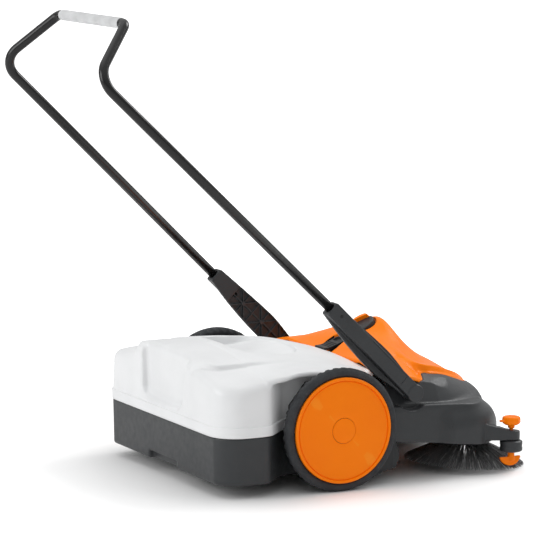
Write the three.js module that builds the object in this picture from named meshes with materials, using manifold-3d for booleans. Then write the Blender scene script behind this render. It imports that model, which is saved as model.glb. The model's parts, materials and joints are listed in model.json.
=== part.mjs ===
// A walk-behind sweeper: two big wheels, two disc brushes in front, a sweeping roller, a debris
// container that slides out behind, and a push handle that folds forward over the machine.
//
// Millimetres. +X is the way the machine is pushed, +Y its left side, +Z up. Every X below is
// measured from the wheel axle; the last step moves the machine so that the origin lies on the
// floor under the middle of its length. One side is built and mirrored for the other.

import * as THREE from 'three';
import { mergeVertices } from 'three/addons/utils/BufferGeometryUtils.js';
import Module from 'manifold-3d';

const wasm = await Module();
wasm.setup();

// ---------------------------------------------------------------- driving dimensions

const GAP = 0.3; // between pieces that touch
const RUN = 0.3; // radial clearance of a turning fit
const SKIN = 3; // moulded wall thickness
const HULL = 4; // housing wall thickness
const CLEAR = 20; // how far a cutter reaches past what it cuts
const ABOVE = 400; // a height over every moulded part

// Wheels
const WHEEL_RADIUS = 160;
const TYRE_INNER = 347; // inner face, from the middle of the machine
const TYRE_OUTER = 382;
const DISC_RADIUS = 138;
const RIM_FIT = 1; // between the tyre's bead and the rim inside it
const DISC_OUTER = 388.5;
const CAP_RADIUS = 32.5;
const HUB_RADIUS = 20;
const AXLE_RADIUS = 8;

// Drive train: wheel pulley, belt, countershaft, bevel pair, brush spindle
const BELT_INNER = 304;
const BELT_WIDTH = 10;
const BELT_OUTER = BELT_INNER + BELT_WIDTH;
const WHEEL_PULLEY_RADIUS = 54;
const SHAFT_PULLEY_RADIUS = 18;
const BELT_THICKNESS = 2.5;
const SHAFT_X = 463.6;
const SHAFT_Z = 140;
const SHAFT_RADIUS = 8;
const GEAR_MODULE = 2.5;
const PINION_TEETH = 12;
const BEVEL_TEETH = 18;
const FACE_SHARE = 0.65; // small end of a bevel gear over its big end

// Disc brushes
const BRUSH_Y = 216;
const BRUSH_RADIUS = 160;
const BRUSH_TILT = THREE.MathUtils.degToRad(3.8); // front rim down
const PLATE_RADIUS = 62;
const RIM_DEPTH = 129.2; // rim below the gear apex, along the spindle

// Sweeping roller
const ROLLER_X = 150;
const ROLLER_Z = 62;
const ROLLER_RADIUS = 56;
const ROLLER_HALF = 268;
const CORE_RADIUS = 24;
const CORE_HALF = 274;
const ROLLER_SHAFT_RADIUS = 6;
const ROLLER_BELT_INNER = 319;
const ROLLER_WHEEL_PULLEY_RADIUS = 36;

// Debris container
const BODY_REAR = -339;
const BODY_HALF = 366;
const BODY_CORNER = 76;
const STEP_REAR = -198; // where the side steps in behind the wheel
const NECK_HALF = 287;
const NECK_FRONT = 60;
const TRAY_FLOOR = 35;
const SEAM_Z = 160;
const LIP_TOP = 186;
const LIP_PROUD = 3;
const SILL_Z = 72;
const HOLD_HALF = 122; // hand hold: half width at its sill and at the top
const HOLD_TOP_HALF = 136;
const HOLD_SILL = 196;
const HOLD_DEPTH = 26;
const NOTCH_HALF = 86;
const NOTCH_DEPTH = 24;
const NOTCH_HEIGHT = 21;
const BONNET_FRONT = 140; // foremost point of the lid, over the hood's rear edge

// Handle
const PIVOT_X = 228;
const PIVOT_Z = 233;
const ARM_ANGLE = THREE.MathUtils.degToRad(135.6);
const ARM_LENGTH = 343;
const ARM_INNER = 322;
const ARM_WEB = 334;
const ARM_OUTER = 358;
const TUBE_RADIUS = 12.5;
const TUBE_BORE = 10.8;
const TUBE_INSERT = new THREE.Vector3(46, 343, 411.7);
const TUBE_BEND = new THREE.Vector3(-647, 312, 1081);
const TUBE_CORNER = new THREE.Vector3(-525, 209, 1205);
const BEND_RADII = [55, 30, 30, 55];
const GRIP_HALF = 184;
const GRIP_RADIUS = 14;
const PIN_RADIUS = 9;
const SCREW_X = 9;
const SCREW_Z = 451;

// Side frames
const FRAME_INNER = 293;
const FRAME_OUTER = 342;

// Housing and hood
const SKIRT_HALF = 345;
const POCKET_RADIUS = 48;
const POCKET_INNER = 319;
const HOUSING_REAR = 171;
const LEDGE_Z = 194;
const HOOD_REAR = 143;
const HOOD_THICKNESS = 3.5;
const HOOD_SEAT_Z = 266; // lowest point of the hood beside the arms

// Latch trough and lever
const CHANNEL_HALF = 40;
const CHANNEL_FRONT = 224;
const CHANNEL_DEPTH = 32;
const LATCH_HALF = 27;
const LATCH_X = 207;
const LATCH_Z = 322;
const LATCH_PIN_RADIUS = 4;

// Height dial
const DIAL_X = 262;
const DIAL_Z = 360;
const DIAL_TILT = THREE.MathUtils.degToRad(-33);
const DIAL_RADIUS = 36;
const GRIP_TURN = THREE.MathUtils.degToRad(55); // where the dial's grip points at rest

// Edge roller and brush hold-down, on the right side only
const EDGE_X = 516;
const EDGE_Y = -358;
const EDGE_RADIUS = 30;
const EDGE_SPINDLE_RADIUS = 5;

// ---------------------------------------------------------------- materials

function finish(color, roughness, metalness = 0) {
  return new THREE.MeshStandardMaterial({ color, roughness, metalness });
}

const ORANGE = finish(0xf07800, 0.4);
const WHITE = finish(0xeceeee, 0.35);
const DARK = finish(0x3a3c3e, 0.5);
const BLACK = finish(0x17181a, 0.45);
const RUBBER = finish(0x2b2d2f, 0.85);
const BLACK_PAINT = finish(0x101113, 0.25, 0.4);
const PALE_GRIP = finish(0xd9dadb, 0.6);
const STEEL = finish(0xa8abae, 0.35, 0.9);
const BRISTLE = finish(0x1b1b1d, 0.8);

// ---------------------------------------------------------------- shape helpers

// A closed geometry with one vertex per corner, no empty triangles, and its faces pointing out.
function closed(geometry) {
  const bare = geometry.clone();
  bare.deleteAttribute('normal');
  bare.deleteAttribute('uv');
  const merged = mergeVertices(bare, 1e-4);
  const corner = merged.getAttribute('position');
  const source = merged.getIndex().array;
  const point = [0, 1, 2].map(() => new THREE.Vector3());
  const kept = [];
  let volume = 0;
  for (let i = 0; i < source.length; i += 3) {
    const [a, b, c] = [source[i], source[i + 1], source[i + 2]];
    if (a === b || b === c || c === a) continue;
    [a, b, c].forEach((index, k) => point[k].fromBufferAttribute(corner, index));
    volume += point[0].dot(point[1].cross(point[2]));
    kept.push(a, b, c);
  }
  if (volume < 0) kept.reverse();
  merged.setIndex(kept);
  return merged;
}

function solid(geometry) {
  const shell = closed(geometry);
  const vertProperties = Float32Array.from(shell.getAttribute('position').array);
  const triVerts = Uint32Array.from(shell.getIndex().array);
  return new wasm.Manifold(new wasm.Mesh({ numProp: 3, vertProperties, triVerts }));
}

function geometryOf(body) {
  const mesh = body.getMesh();
  const geometry = new THREE.BufferGeometry();
  geometry.setAttribute('position', new THREE.BufferAttribute(mesh.vertProperties, 3));
  geometry.setIndex(new THREE.BufferAttribute(mesh.triVerts, 1));
  return geometry;
}

// A solid cut by every one of the cutters.
function cut(body, ...cutters) {
  return cutters.reduce((rest, cutter) => rest.subtract(cutter), body);
}

function joined(...bodies) {
  return bodies.reduce((whole, body) => whole.add(body));
}

function outline(...points) {
  return new THREE.Shape(points.map(([a, b]) => new THREE.Vector2(a, b)));
}

// An outline in the XZ plane, pulled along Y.
function alongY(shape, low, high, curveSegments = 6) {
  const options = { depth: high - low, bevelEnabled: false, curveSegments };
  return new THREE.ExtrudeGeometry(shape, options).rotateX(Math.PI / 2).translate(0, high, 0);
}

// An outline in the XY plane, pulled along Z.
function alongZ(shape, low, high, curveSegments = 6) {
  const options = { depth: high - low, bevelEnabled: false, curveSegments };
  return new THREE.ExtrudeGeometry(shape, options).translate(0, 0, low);
}

function block([x0, y0, z0], [x1, y1, z1]) {
  const box = new THREE.BoxGeometry(x1 - x0, y1 - y0, z1 - z0);
  return box.translate((x0 + x1) / 2, (y0 + y1) / 2, (z0 + z1) / 2);
}

// A profile of [radius, y] points turned about the Y axis.
function turnedY(profile, segments) {
  return new THREE.LatheGeometry(profile.map(([r, y]) => new THREE.Vector2(r, y)), segments);
}

function turnedZ(profile, segments) {
  return turnedY(profile, segments).rotateX(Math.PI / 2);
}

// The profile of a plain ring, or of a plain rod when the bore is 0.
function ring(bore, radius, low, high) {
  const wall = [[bore, low], [radius, low], [radius, high], [bore, high]];
  return bore > 0 ? [...wall, wall[0]] : wall;
}

function rodY(radius, low, high, segments = 16) {
  return turnedY(ring(0, radius, low, high), segments);
}

function rodZ(radius, low, high, segments = 16) {
  return turnedZ(ring(0, radius, low, high), segments);
}

// Sections, each of two chains of points that face one another, skinned and closed at both ends.
function lofted(sections) {
  const count = sections[0].one.length;
  const loops = sections.map(({ one, other }) => [...one, ...other.toReversed()]);
  const size = 2 * count;
  const faces = [];
  for (let k = 0; k + 1 < loops.length; k++) {
    for (let i = 0; i < size; i++) {
      const a = k * size + i;
      const b = k * size + ((i + 1) % size);
      faces.push(a, b, b + size, a, b + size, a + size);
    }
  }
  const last = (loops.length - 1) * size;
  for (let i = 0; i + 1 < count; i++) {
    const mate = size - 1 - i;
    faces.push(i, mate - 1, i + 1, i, mate, mate - 1);
    faces.push(last + i, last + i + 1, last + mate - 1, last + i, last + mate - 1, last + mate);
  }
  const geometry = new THREE.BufferGeometry().setFromPoints(loops.flat());
  geometry.setIndex(faces);
  return geometry;
}

// A value read from a line of [place, value] knots.
function along(knots, place) {
  const next = knots.findIndex(([at]) => at >= place);
  if (next < 0) return knots.at(-1)[1];
  if (next === 0) return knots[0][1];
  const [[x0, v0], [x1, v1]] = [knots[next - 1], knots[next]];
  return v0 + ((v1 - v0) * (place - x0)) / (x1 - x0);
}

function mirrored(geometry) {
  return geometry.clone().scale(1, -1, 1);
}

// ---------------------------------------------------------------- the scene graph

const machine = new THREE.Group();

function add(name, shape, material, parent = machine) {
  const mesh = new THREE.Mesh(closed(shape.isBufferGeometry ? shape : geometryOf(shape)), material);
  mesh.name = name;
  parent.add(mesh);
}

// The left piece as built, and its mirror image on the right.
function addPair(name, shape, material) {
  const left = shape.isBufferGeometry ? shape : geometryOf(shape);
  add(`${name}_left`, left, material);
  add(`${name}_right`, mirrored(left), material);
}

// ---------------------------------------------------------------- wheels

function tyre() {
  const shoulder = 7;
  return turnedY([
    [DISC_RADIUS, TYRE_INNER],
    [WHEEL_RADIUS - shoulder, TYRE_INNER],
    [WHEEL_RADIUS, TYRE_INNER + shoulder],
    [WHEEL_RADIUS, TYRE_OUTER - shoulder],
    [WHEEL_RADIUS - shoulder, TYRE_OUTER],
    [DISC_RADIUS, TYRE_OUTER],
    [DISC_RADIUS, TYRE_INNER],
  ], 36).translate(0, 0, WHEEL_RADIUS);
}

// Web, outer ring and the hub sleeve that turns on the axle and carries the drive pulley.
function wheelRim() {
  const edge = DISC_RADIUS - RIM_FIT;
  return turnedY([
    [AXLE_RADIUS + RUN, BELT_INNER - 2],
    [HUB_RADIUS, BELT_INNER - 2],
    [HUB_RADIUS, 355],
    [edge - 6, 355],
    [edge - 6, TYRE_INNER + 2],
    [edge, TYRE_INNER + 2],
    [edge, 374],
    [edge - 6, 374],
    [edge - 6, 361],
    [HUB_RADIUS, 361],
    [HUB_RADIUS, 381],
    [AXLE_RADIUS + RUN, 381],
    [AXLE_RADIUS + RUN, BELT_INNER - 2],
  ], 26).translate(0, 0, WHEEL_RADIUS);
}

// Orange cover, slightly domed, with a groove inside its rim.
function wheelDisc() {
  const bore = CAP_RADIUS + GAP;
  const edge = DISC_RADIUS - RIM_FIT;
  return turnedY([
    [bore, DISC_OUTER - 4.5],
    [bore, DISC_OUTER],
    [edge - 10, DISC_OUTER - 1.5],
    [edge - 8, DISC_OUTER - 4],
    [edge - 6, DISC_OUTER - 1],
    [edge - 1.5, DISC_OUTER - 1],
    [edge, DISC_OUTER - 3],
    [edge, 374 + GAP],
    [edge - 5, 374 + GAP],
    [edge - 12, DISC_OUTER - 7],
    [bore, DISC_OUTER - 4.5],
  ], 32).translate(0, 0, WHEEL_RADIUS);
}

function hubCap() {
  return turnedY([
    [0, DISC_OUTER - 4.2],
    [CAP_RADIUS - 4, DISC_OUTER - 4.2],
    [CAP_RADIUS, DISC_OUTER - 1.5],
    [CAP_RADIUS, DISC_OUTER - 0.4],
    [CAP_RADIUS - 1, DISC_OUTER + 0.4],
    [0, DISC_OUTER + 1.5],
  ], 28).translate(0, 0, WHEEL_RADIUS);
}

function wheelAxle() {
  return turnedY([
    [0, FRAME_INNER - 3],
    [14, FRAME_INNER - 3],
    [14, FRAME_INNER - GAP],
    [AXLE_RADIUS, FRAME_INNER - GAP],
    [AXLE_RADIUS, 382],
    [0, 382],
  ], 14).translate(0, 0, WHEEL_RADIUS);
}

function drivePulley() {
  const band = ring(HUB_RADIUS + GAP, WHEEL_PULLEY_RADIUS, BELT_INNER - 1, BELT_OUTER + 1);
  return turnedY(band, 28).translate(0, 0, WHEEL_RADIUS);
}

// The left wheel's pulley has a second, smaller groove for the roller belt.
function doublePulley() {
  const bore = HUB_RADIUS + GAP;
  const step = ring(bore, ROLLER_WHEEL_PULLEY_RADIUS, BELT_OUTER, ROLLER_BELT_INNER + 11);
  return joined(solid(drivePulley()), solid(turnedY(step, 28).translate(0, 0, WHEEL_RADIUS)));
}

addPair('tyre', tyre(), RUBBER);
addPair('wheel_rim', wheelRim(), DARK);
addPair('wheel_disc', wheelDisc(), ORANGE);
addPair('hub_cap', hubCap(), ORANGE);
addPair('wheel_axle', wheelAxle(), STEEL);
add('drive_pulley_left', doublePulley(), BLACK);
add('drive_pulley_right', mirrored(drivePulley()), BLACK);

// ---------------------------------------------------------------- belts and countershafts

// The line of a belt round two pulleys, standing off them by the given amount.
function beltLine(first, second, offset) {
  const [dx, dz] = [second.x - first.x, second.z - first.z];
  const lean = Math.atan2(dz, dx);
  const wrap = Math.acos((first.radius - second.radius) / Math.hypot(dx, dz));
  const line = new THREE.Shape();
  line.absarc(first.x, first.z, first.radius + offset, lean + wrap, lean - wrap + 2 * Math.PI);
  line.absarc(second.x, second.z, second.radius + offset, lean - wrap, lean + wrap);
  return line;
}

function belt(first, second, low, width) {
  const loop = beltLine(first, second, GAP + BELT_THICKNESS);
  loop.holes.push(beltLine(first, second, GAP));
  return alongY(loop, low, low + width, 8);
}

const wheelPulley = { x: 0, z: WHEEL_RADIUS, radius: WHEEL_PULLEY_RADIUS };
const shaftPulley = { x: SHAFT_X, z: SHAFT_Z, radius: SHAFT_PULLEY_RADIUS };
addPair('drive_belt', belt(wheelPulley, shaftPulley, BELT_INNER, BELT_WIDTH), RUBBER);

const pinionRadius = (GEAR_MODULE * PINION_TEETH) / 2;
const bevelRadius = (GEAR_MODULE * BEVEL_TEETH) / 2;
const pinionFace = BRUSH_Y + bevelRadius; // big end of the pinion
const shaftInner = BRUSH_Y + bevelRadius * FACE_SHARE;

// A straight bevel gear about Z, its apex at the origin and its big end at the cone distance.
function bevelGear(teeth, radius, coneDistance, dedendum, toothAtZero) {
  const addendum = 1.5;
  const pitch = (2 * Math.PI) / teeth;
  const rootHalf = pitch * 0.2;
  const tipHalf = pitch * 0.1;
  const shape = new THREE.Shape();
  const corner = (angle, r) => new THREE.Vector2(r * Math.cos(angle), r * Math.sin(angle));
  const corners = [];
  for (let tooth = 0; tooth < teeth; tooth++) {
    const middle = (tooth + (toothAtZero ? 0 : 0.5)) * pitch;
    corners.push(corner(middle - rootHalf, radius - dedendum));
    corners.push(corner(middle - tipHalf, radius + addendum));
    corners.push(corner(middle + tipHalf, radius + addendum));
    corners.push(corner(middle + rootHalf, radius - dedendum));
  }
  shape.setFromPoints(corners);
  const low = coneDistance * FACE_SHARE;
  const gear = alongZ(shape, low, coneDistance);
  const place = gear.getAttribute('position');
  for (let i = 0; i < place.count; i++) {
    if (place.getZ(i) > coneDistance - 0.01) continue;
    place.setXY(i, place.getX(i) * FACE_SHARE, place.getY(i) * FACE_SHARE);
  }
  return gear;
}

// The pinion's axis is turned from Z to +Y, so its tooth at zero lands on the line of mesh above.
function bevelPinion() {
  const teeth = bevelGear(PINION_TEETH, pinionRadius, bevelRadius, 2.2, true);
  const hub = rodZ(11, bevelRadius - 1, bevelRadius + 8, 16);
  const bore = rodZ(SHAFT_RADIUS + GAP, 0, bevelRadius + 20, 16);
  const blank = cut(joined(solid(teeth), solid(hub)), solid(bore));
  const upright = geometryOf(blank).rotateZ(Math.PI / 2);
  return upright.rotateX(-Math.PI / 2).rotateY(BRUSH_TILT).translate(SHAFT_X, BRUSH_Y, SHAFT_Z);
}

function countershaft() {
  return rodY(SHAFT_RADIUS, shaftInner + 1, BELT_OUTER + 8, 16).translate(SHAFT_X, 0, SHAFT_Z);
}

function shaftPulleyWheel() {
  const profile = ring(SHAFT_RADIUS + GAP, SHAFT_PULLEY_RADIUS, BELT_INNER - 1, BELT_OUTER + 1);
  return turnedY(profile, 20).translate(SHAFT_X, 0, SHAFT_Z);
}

addPair('countershaft', countershaft(), STEEL);
addPair('belt_pulley', shaftPulleyWheel(), BLACK);
addPair('bevel_pinion', bevelPinion(), BLACK);

// ---------------------------------------------------------------- disc brushes

// Pieces on the spindle are drawn about Z with the gear apex at zero, then leaned forward.
function onSpindle(geometry) {
  return geometry.rotateY(BRUSH_TILT).translate(SHAFT_X, BRUSH_Y, SHAFT_Z);
}

function spindle() {
  return turnedZ([
    [0, -86],
    [12, -86],
    [12, -78.3],
    [SHAFT_RADIUS, -78.3],
    [SHAFT_RADIUS, 26],
    [0, 26],
  ], 16);
}

function spindleGear() {
  const teeth = bevelGear(BEVEL_TEETH, bevelRadius, pinionRadius, 3.6, false).rotateZ(Math.PI / 2);
  const hub = rodZ(14, pinionRadius - 1, pinionRadius + 8, 16);
  const bore = rodZ(SHAFT_RADIUS + GAP, 0, pinionRadius + 20, 16);
  return geometryOf(cut(joined(solid(teeth), solid(hub)), solid(bore)));
}

function brushPlate() {
  return turnedZ([
    [SHAFT_RADIUS + GAP, -78],
    [PLATE_RADIUS, -78],
    [PLATE_RADIUS, -70],
    [30, -64],
    [18, -52],
    [SHAFT_RADIUS + GAP, -52],
    [SHAFT_RADIUS + GAP, -78],
  ], 28);
}

// The splayed bristles as one conical skirt.
function brushBristles() {
  const root = -78 - GAP;
  return turnedZ([
    [46, root],
    [PLATE_RADIUS, root],
    [102, -106],
    [138, -121.5],
    [BRUSH_RADIUS, -RIM_DEPTH + 3],
    [BRUSH_RADIUS, -RIM_DEPTH],
    [134, -RIM_DEPTH + 1.5],
    [92, -115],
    [46, root],
  ], 36);
}

addPair('brush_spindle', onSpindle(spindle()), STEEL);
addPair('bevel_gear', onSpindle(spindleGear()), BLACK);
addPair('brush_plate', onSpindle(brushPlate()), BLACK);
addPair('brush_bristles', onSpindle(brushBristles()), BRISTLE);

// Foot that holds the spindle, with an upright for the inner end of the countershaft.
function spindleBearing() {
  const foot = alongZ(outline([-16, 0], [16, 0], [16, 76], [-16, 76]), -42, -32);
  const collar = rodZ(20, -46, -26, 20);
  const upright = block([-14, 36, -33], [14, 46, 16]);
  const spindleBore = rodZ(SHAFT_RADIUS + RUN, -60, 0, 16);
  const shaftBore = rodY(SHAFT_RADIUS + RUN, 20, 60, 16);
  const bearing = joined(solid(foot), solid(collar), solid(upright));
  return onSpindle(geometryOf(cut(bearing, solid(spindleBore), solid(shaftBore))));
}

addPair('spindle_bearing', spindleBearing(), BLACK);

// ---------------------------------------------------------------- side frames

// A hollow box beside the container that carries the wheel and hides the belts, and a rail that
// runs forward from its inner wall to the brush drive.
function sideFrame() {
  const profile = outline(
    [-112, 78], [-96, 60], [70, 60], [112, 36], [168, 36], [168, 204], [92, 279], [-64, 279], [-112, 220],
  );
  const hollow = outline(
    [-109, 80], [-94, 63], [71, 63], [113, 39], [180, 39], [180, 195], [91, 276], [-62, 276], [-109, 219],
  );
  const rail = outline([160, 118], [SHAFT_X + 26, 112], [SHAFT_X + 26, 160], [160, 176]);
  const box = cut(
    solid(alongY(profile, FRAME_INNER, FRAME_OUTER)),
    solid(alongY(hollow, FRAME_INNER + SKIN, FRAME_OUTER - SKIN)),
  );
  const frame = joined(box, solid(alongY(rail, FRAME_INNER, FRAME_INNER + SKIN)));
  return cut(
    frame,
    solid(rodY(AXLE_RADIUS + GAP, 280, 310).translate(0, 0, WHEEL_RADIUS)),
    solid(rodY(HUB_RADIUS + 3, 320, 350).translate(0, 0, WHEEL_RADIUS)),
    solid(rodY(ROLLER_SHAFT_RADIUS + RUN, 280, 310).translate(ROLLER_X, 0, ROLLER_Z)),
    solid(rodY(SHAFT_RADIUS + RUN, 280, 310).translate(SHAFT_X, 0, SHAFT_Z)),
  );
}

addPair('side_frame', sideFrame(), BLACK);

// ---------------------------------------------------------------- sweeping roller

function atRoller(geometry) {
  return geometry.translate(ROLLER_X, 0, ROLLER_Z);
}

const rollerEnd = FRAME_INNER - GAP;
const rollerPulley = { x: ROLLER_X, z: ROLLER_Z, radius: SHAFT_PULLEY_RADIUS };
const rollerPulleyProfile = ring(
  ROLLER_SHAFT_RADIUS + GAP, SHAFT_PULLEY_RADIUS, ROLLER_BELT_INNER, ROLLER_BELT_INNER + 10,
);

const rollerShaft = rodY(ROLLER_SHAFT_RADIUS, -rollerEnd - 4, ROLLER_BELT_INNER + 14);
const coreProfile = ring(ROLLER_SHAFT_RADIUS + GAP, CORE_RADIUS, -CORE_HALF, CORE_HALF);
const bristleProfile = ring(CORE_RADIUS + GAP, ROLLER_RADIUS, -ROLLER_HALF, ROLLER_HALF);

add('roller_shaft', atRoller(rollerShaft), STEEL);
add('roller_core', atRoller(turnedY(coreProfile, 20)), BLACK);
add('roller_bristles', atRoller(turnedY(bristleProfile, 32)), BRISTLE);
add('roller_pulley', atRoller(turnedY(rollerPulleyProfile, 20)), BLACK);
add('roller_belt', belt(
  { ...wheelPulley, radius: ROLLER_WHEEL_PULLEY_RADIUS }, rollerPulley, ROLLER_BELT_INNER + 1, 8,
), RUBBER);

// Shroud over the roller, open towards the container behind it and the brushes before it.
function rollerHousing() {
  const inner = ROLLER_RADIUS + 5;
  const outer = inner + SKIN;
  const half = rollerEnd - GAP;
  const arc = (from, to) => {
    const strip = new THREE.Shape();
    strip.absarc(0, 0, outer, from, to);
    strip.absarc(0, 0, inner, to, from, true);
    return solid(alongY(strip, -half, half, 6));
  };
  const { degToRad } = THREE.MathUtils;
  const shroud = arc(degToRad(-5), degToRad(150));
  const ramp = arc(degToRad(200), degToRad(238));
  const cheekOutline = new THREE.Shape();
  cheekOutline.absarc(0, 0, outer, degToRad(-30), degToRad(238));
  const cheek = solid(alongY(cheekOutline, half - SKIN, half, 8));
  const farCheek = solid(alongY(cheekOutline, -half, -half + SKIN, 8));
  const bore = solid(rodY(ROLLER_SHAFT_RADIUS + RUN, -half - 5, half + 5));
  return geometryOf(cut(joined(shroud, ramp, cheek, farCheek), bore));
}

add('roller_housing', atRoller(rollerHousing()), DARK);
add('sweep_lip', block([72, -284, 6], [76, 284, 33]), RUBBER);

// ---------------------------------------------------------------- debris container

// Plan of the container: round rear corners, full width behind the wheels, narrow between them.
function containerPlan(inset, front) {
  const half = BODY_HALF - inset;
  const neck = NECK_HALF - inset;
  const rear = BODY_REAR + inset;
  const radius = BODY_CORNER - inset;
  const stepRear = STEP_REAR - inset * 0.4;
  const stepFront = stepRear + half - neck;
  const plan = new THREE.Shape();
  plan.moveTo(front, -neck);
  plan.lineTo(front, neck);
  plan.lineTo(stepFront, neck);
  plan.lineTo(stepRear, half);
  plan.lineTo(rear + radius, half);
  plan.absarc(rear + radius, half - radius, radius, Math.PI / 2, Math.PI);
  plan.absarc(rear + radius, radius - half, radius, Math.PI, Math.PI * 1.5);
  plan.lineTo(stepRear, -half);
  plan.lineTo(stepFront, -neck);
  return plan;
}

// Hand hold in the middle of the lid's rear face, grown by the margin.
function rearHold(margin) {
  const foot = HOLD_HALF + margin;
  const head = HOLD_TOP_HALF + margin;
  const sill = HOLD_SILL - margin;
  const shape = outline([-foot, sill], [foot, sill], [head, ABOVE], [-head, ABOVE]);
  const options = { depth: HOLD_DEPTH + margin + CLEAR, bevelEnabled: false };
  const hold = new THREE.ExtrudeGeometry(shape, options).rotateX(Math.PI / 2).rotateZ(Math.PI / 2);
  return solid(hold.translate(BODY_REAR - CLEAR, 0, 0));
}

// Notch under the tray's rear edge, grown by the margin.
function rearNotch(margin) {
  const half = NOTCH_HALF + margin;
  const front = BODY_REAR + NOTCH_DEPTH + margin;
  const top = TRAY_FLOOR + NOTCH_HEIGHT + margin;
  return solid(block([BODY_REAR - CLEAR, -half, TRAY_FLOOR - CLEAR], [front, half, top]));
}

function containerTray() {
  const top = SEAM_Z - GAP;
  const plan = containerPlan(LIP_PROUD, NECK_FRONT);
  const hollow = containerPlan(LIP_PROUD + SKIN, NECK_FRONT - SKIN);
  const outside = cut(solid(alongZ(plan, TRAY_FLOOR, top)), rearNotch(0));
  const inside = cut(solid(alongZ(hollow, TRAY_FLOOR + SKIN, top + CLEAR)), rearNotch(SKIN));
  const mouthHalf = NECK_HALF - 2 * SKIN;
  const mouth = block(
    [NECK_FRONT - CLEAR / 2, -mouthHalf, SILL_Z],
    [NECK_FRONT + CLEAR / 2, mouthHalf, top + CLEAR],
  );
  return cut(outside, inside, solid(mouth));
}

// Height of the lid along its middle, along its crease and along its outer edge.
const LID_MIDDLE = [
  [-339, 312], [-328, 328], [-300, 341], [-250, 345], [-190, 346],
  [-130, 344], [-84, 342], [-30, 338], [30, 331], [90, 316], [140, 302],
];
const LID_CREASE = [
  [-339, 300], [-328, 310], [-300, 316], [-250, 318], [-84, 318],
  [-30, 315], [30, 311], [90, 301], [140, 290],
];
const LID_EDGE = [
  [-339, 272], [-320, 282], [-200, 295], [-150, 302], [-84, 304],
  [0, 299], [60, 298], [110, 291], [140, 281],
];
const LID_STATIONS = [-345, -339, -326, -300, -250, -190, -130, -76, -20, 40, 90, 145];
const CREASE_Y = 228;
const EDGE_AT = 345;

function lidHeight(x, y) {
  const reach = Math.abs(y);
  const [middle, crease, edge] = [LID_MIDDLE, LID_CREASE, LID_EDGE].map((knots) => along(knots, x));
  if (reach < CREASE_Y) return middle - (middle - crease) * (reach / CREASE_Y) ** 2;
  return along([[CREASE_Y, crease], [EDGE_AT, edge], [BODY_HALF, edge - 22]], reach);
}

// The space under the lid's top face, lowered by the drop, down to the given floor.
function underLid(drop, floor) {
  const half = [0.3 * CREASE_Y, 0.7 * CREASE_Y, CREASE_Y, EDGE_AT, BODY_HALF + 2];
  const across = [...half.toReversed().map((y) => -y), ...half];
  return solid(lofted(LID_STATIONS.map((x) => {
    const top = across.map((y) => new THREE.Vector3(x, y, lidHeight(x, y) - drop));
    const bottom = top.map((p) => new THREE.Vector3(x, p.y, floor(p.z)));
    return { one: top, other: bottom };
  })));
}

// Hand scoop in the lid's top, a shallow bowl grown by the margin.
function lidScoop(margin) {
  const bowl = new THREE.SphereGeometry(1, 16, 8);
  bowl.scale(98 + margin, 206 + margin, 34 + margin);
  return solid(bowl.translate(-84, 0, 361));
}

// Plan of the part of the lid that reaches forward over the wheels' housings.
function bonnetPlan() {
  const rearHalf = EDGE_AT - 2;
  const frontHalf = EDGE_AT - 25;
  const plan = new THREE.Shape();
  plan.moveTo(STEP_REAR, -rearHalf);
  plan.lineTo(-140, 5 - rearHalf);
  plan.lineTo(-90, -frontHalf);
  plan.lineTo(104, -frontHalf);
  plan.quadraticCurveTo(BONNET_FRONT - 2, -200, BONNET_FRONT, 0);
  plan.quadraticCurveTo(BONNET_FRONT - 2, 200, 104, frontHalf);
  plan.lineTo(-90, frontHalf);
  plan.lineTo(-140, rearHalf - 5);
  plan.lineTo(STEP_REAR, rearHalf);
  return plan;
}

function containerLid() {
  const base = () => 100;
  const underside = (z) => z - SKIN - 1;
  const walls = solid(alongZ(containerPlan(LIP_PROUD, NECK_FRONT), SEAM_Z, ABOVE));
  const lip = solid(alongZ(containerPlan(0, NECK_FRONT), SEAM_Z, LIP_TOP));
  const body = cut(joined(walls, lip).intersect(underLid(0, base)), rearHold(0));
  const hollow = solid(alongZ(containerPlan(LIP_PROUD + SKIN, NECK_FRONT + CLEAR), 90, ABOVE));
  const inside = cut(hollow.intersect(underLid(SKIN, base)), rearHold(SKIN), lidScoop(SKIN));
  const bonnet = solid(alongZ(bonnetPlan(), 100, ABOVE)).intersect(underLid(0, underside));
  return cut(joined(body, bonnet), inside, lidScoop(0));
}

add('container_tray', containerTray(), DARK);
add('container_lid', containerLid(), WHITE);

// ---------------------------------------------------------------- housing

// Outer shape of the housing, level by level: half width of the side, swell of the brush cover,
// where the side begins to turn into the nose, and the foremost point.
const HOUSING_LEVELS = [
  { z: 70, half: 344, swell: 16, nose: 430, front: 580 },
  { z: 125, half: 345, swell: 17, nose: 430, front: 585 },
  { z: 153, half: 345, swell: 12, nose: 430, front: 565 },
  { z: 182, half: 345, swell: 0, nose: 425, front: 556 },
  { z: 196, half: 343, swell: 0, nose: 400, front: 548 },
  { z: 198, half: 318, swell: 0, nose: 390, front: 546 },
  { z: 223, half: 295, swell: 0, nose: 360, front: 500 },
  { z: 250, half: 270, swell: 0, nose: 330, front: 440 },
];
const NOSE_POWER = 2.2;

// How far below the outside each level of the housing's hollow lies.
const HOUSING_DROPS = { 70: 20, 196: HULL, 198: HULL - 0.5, 250: HULL };

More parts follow.
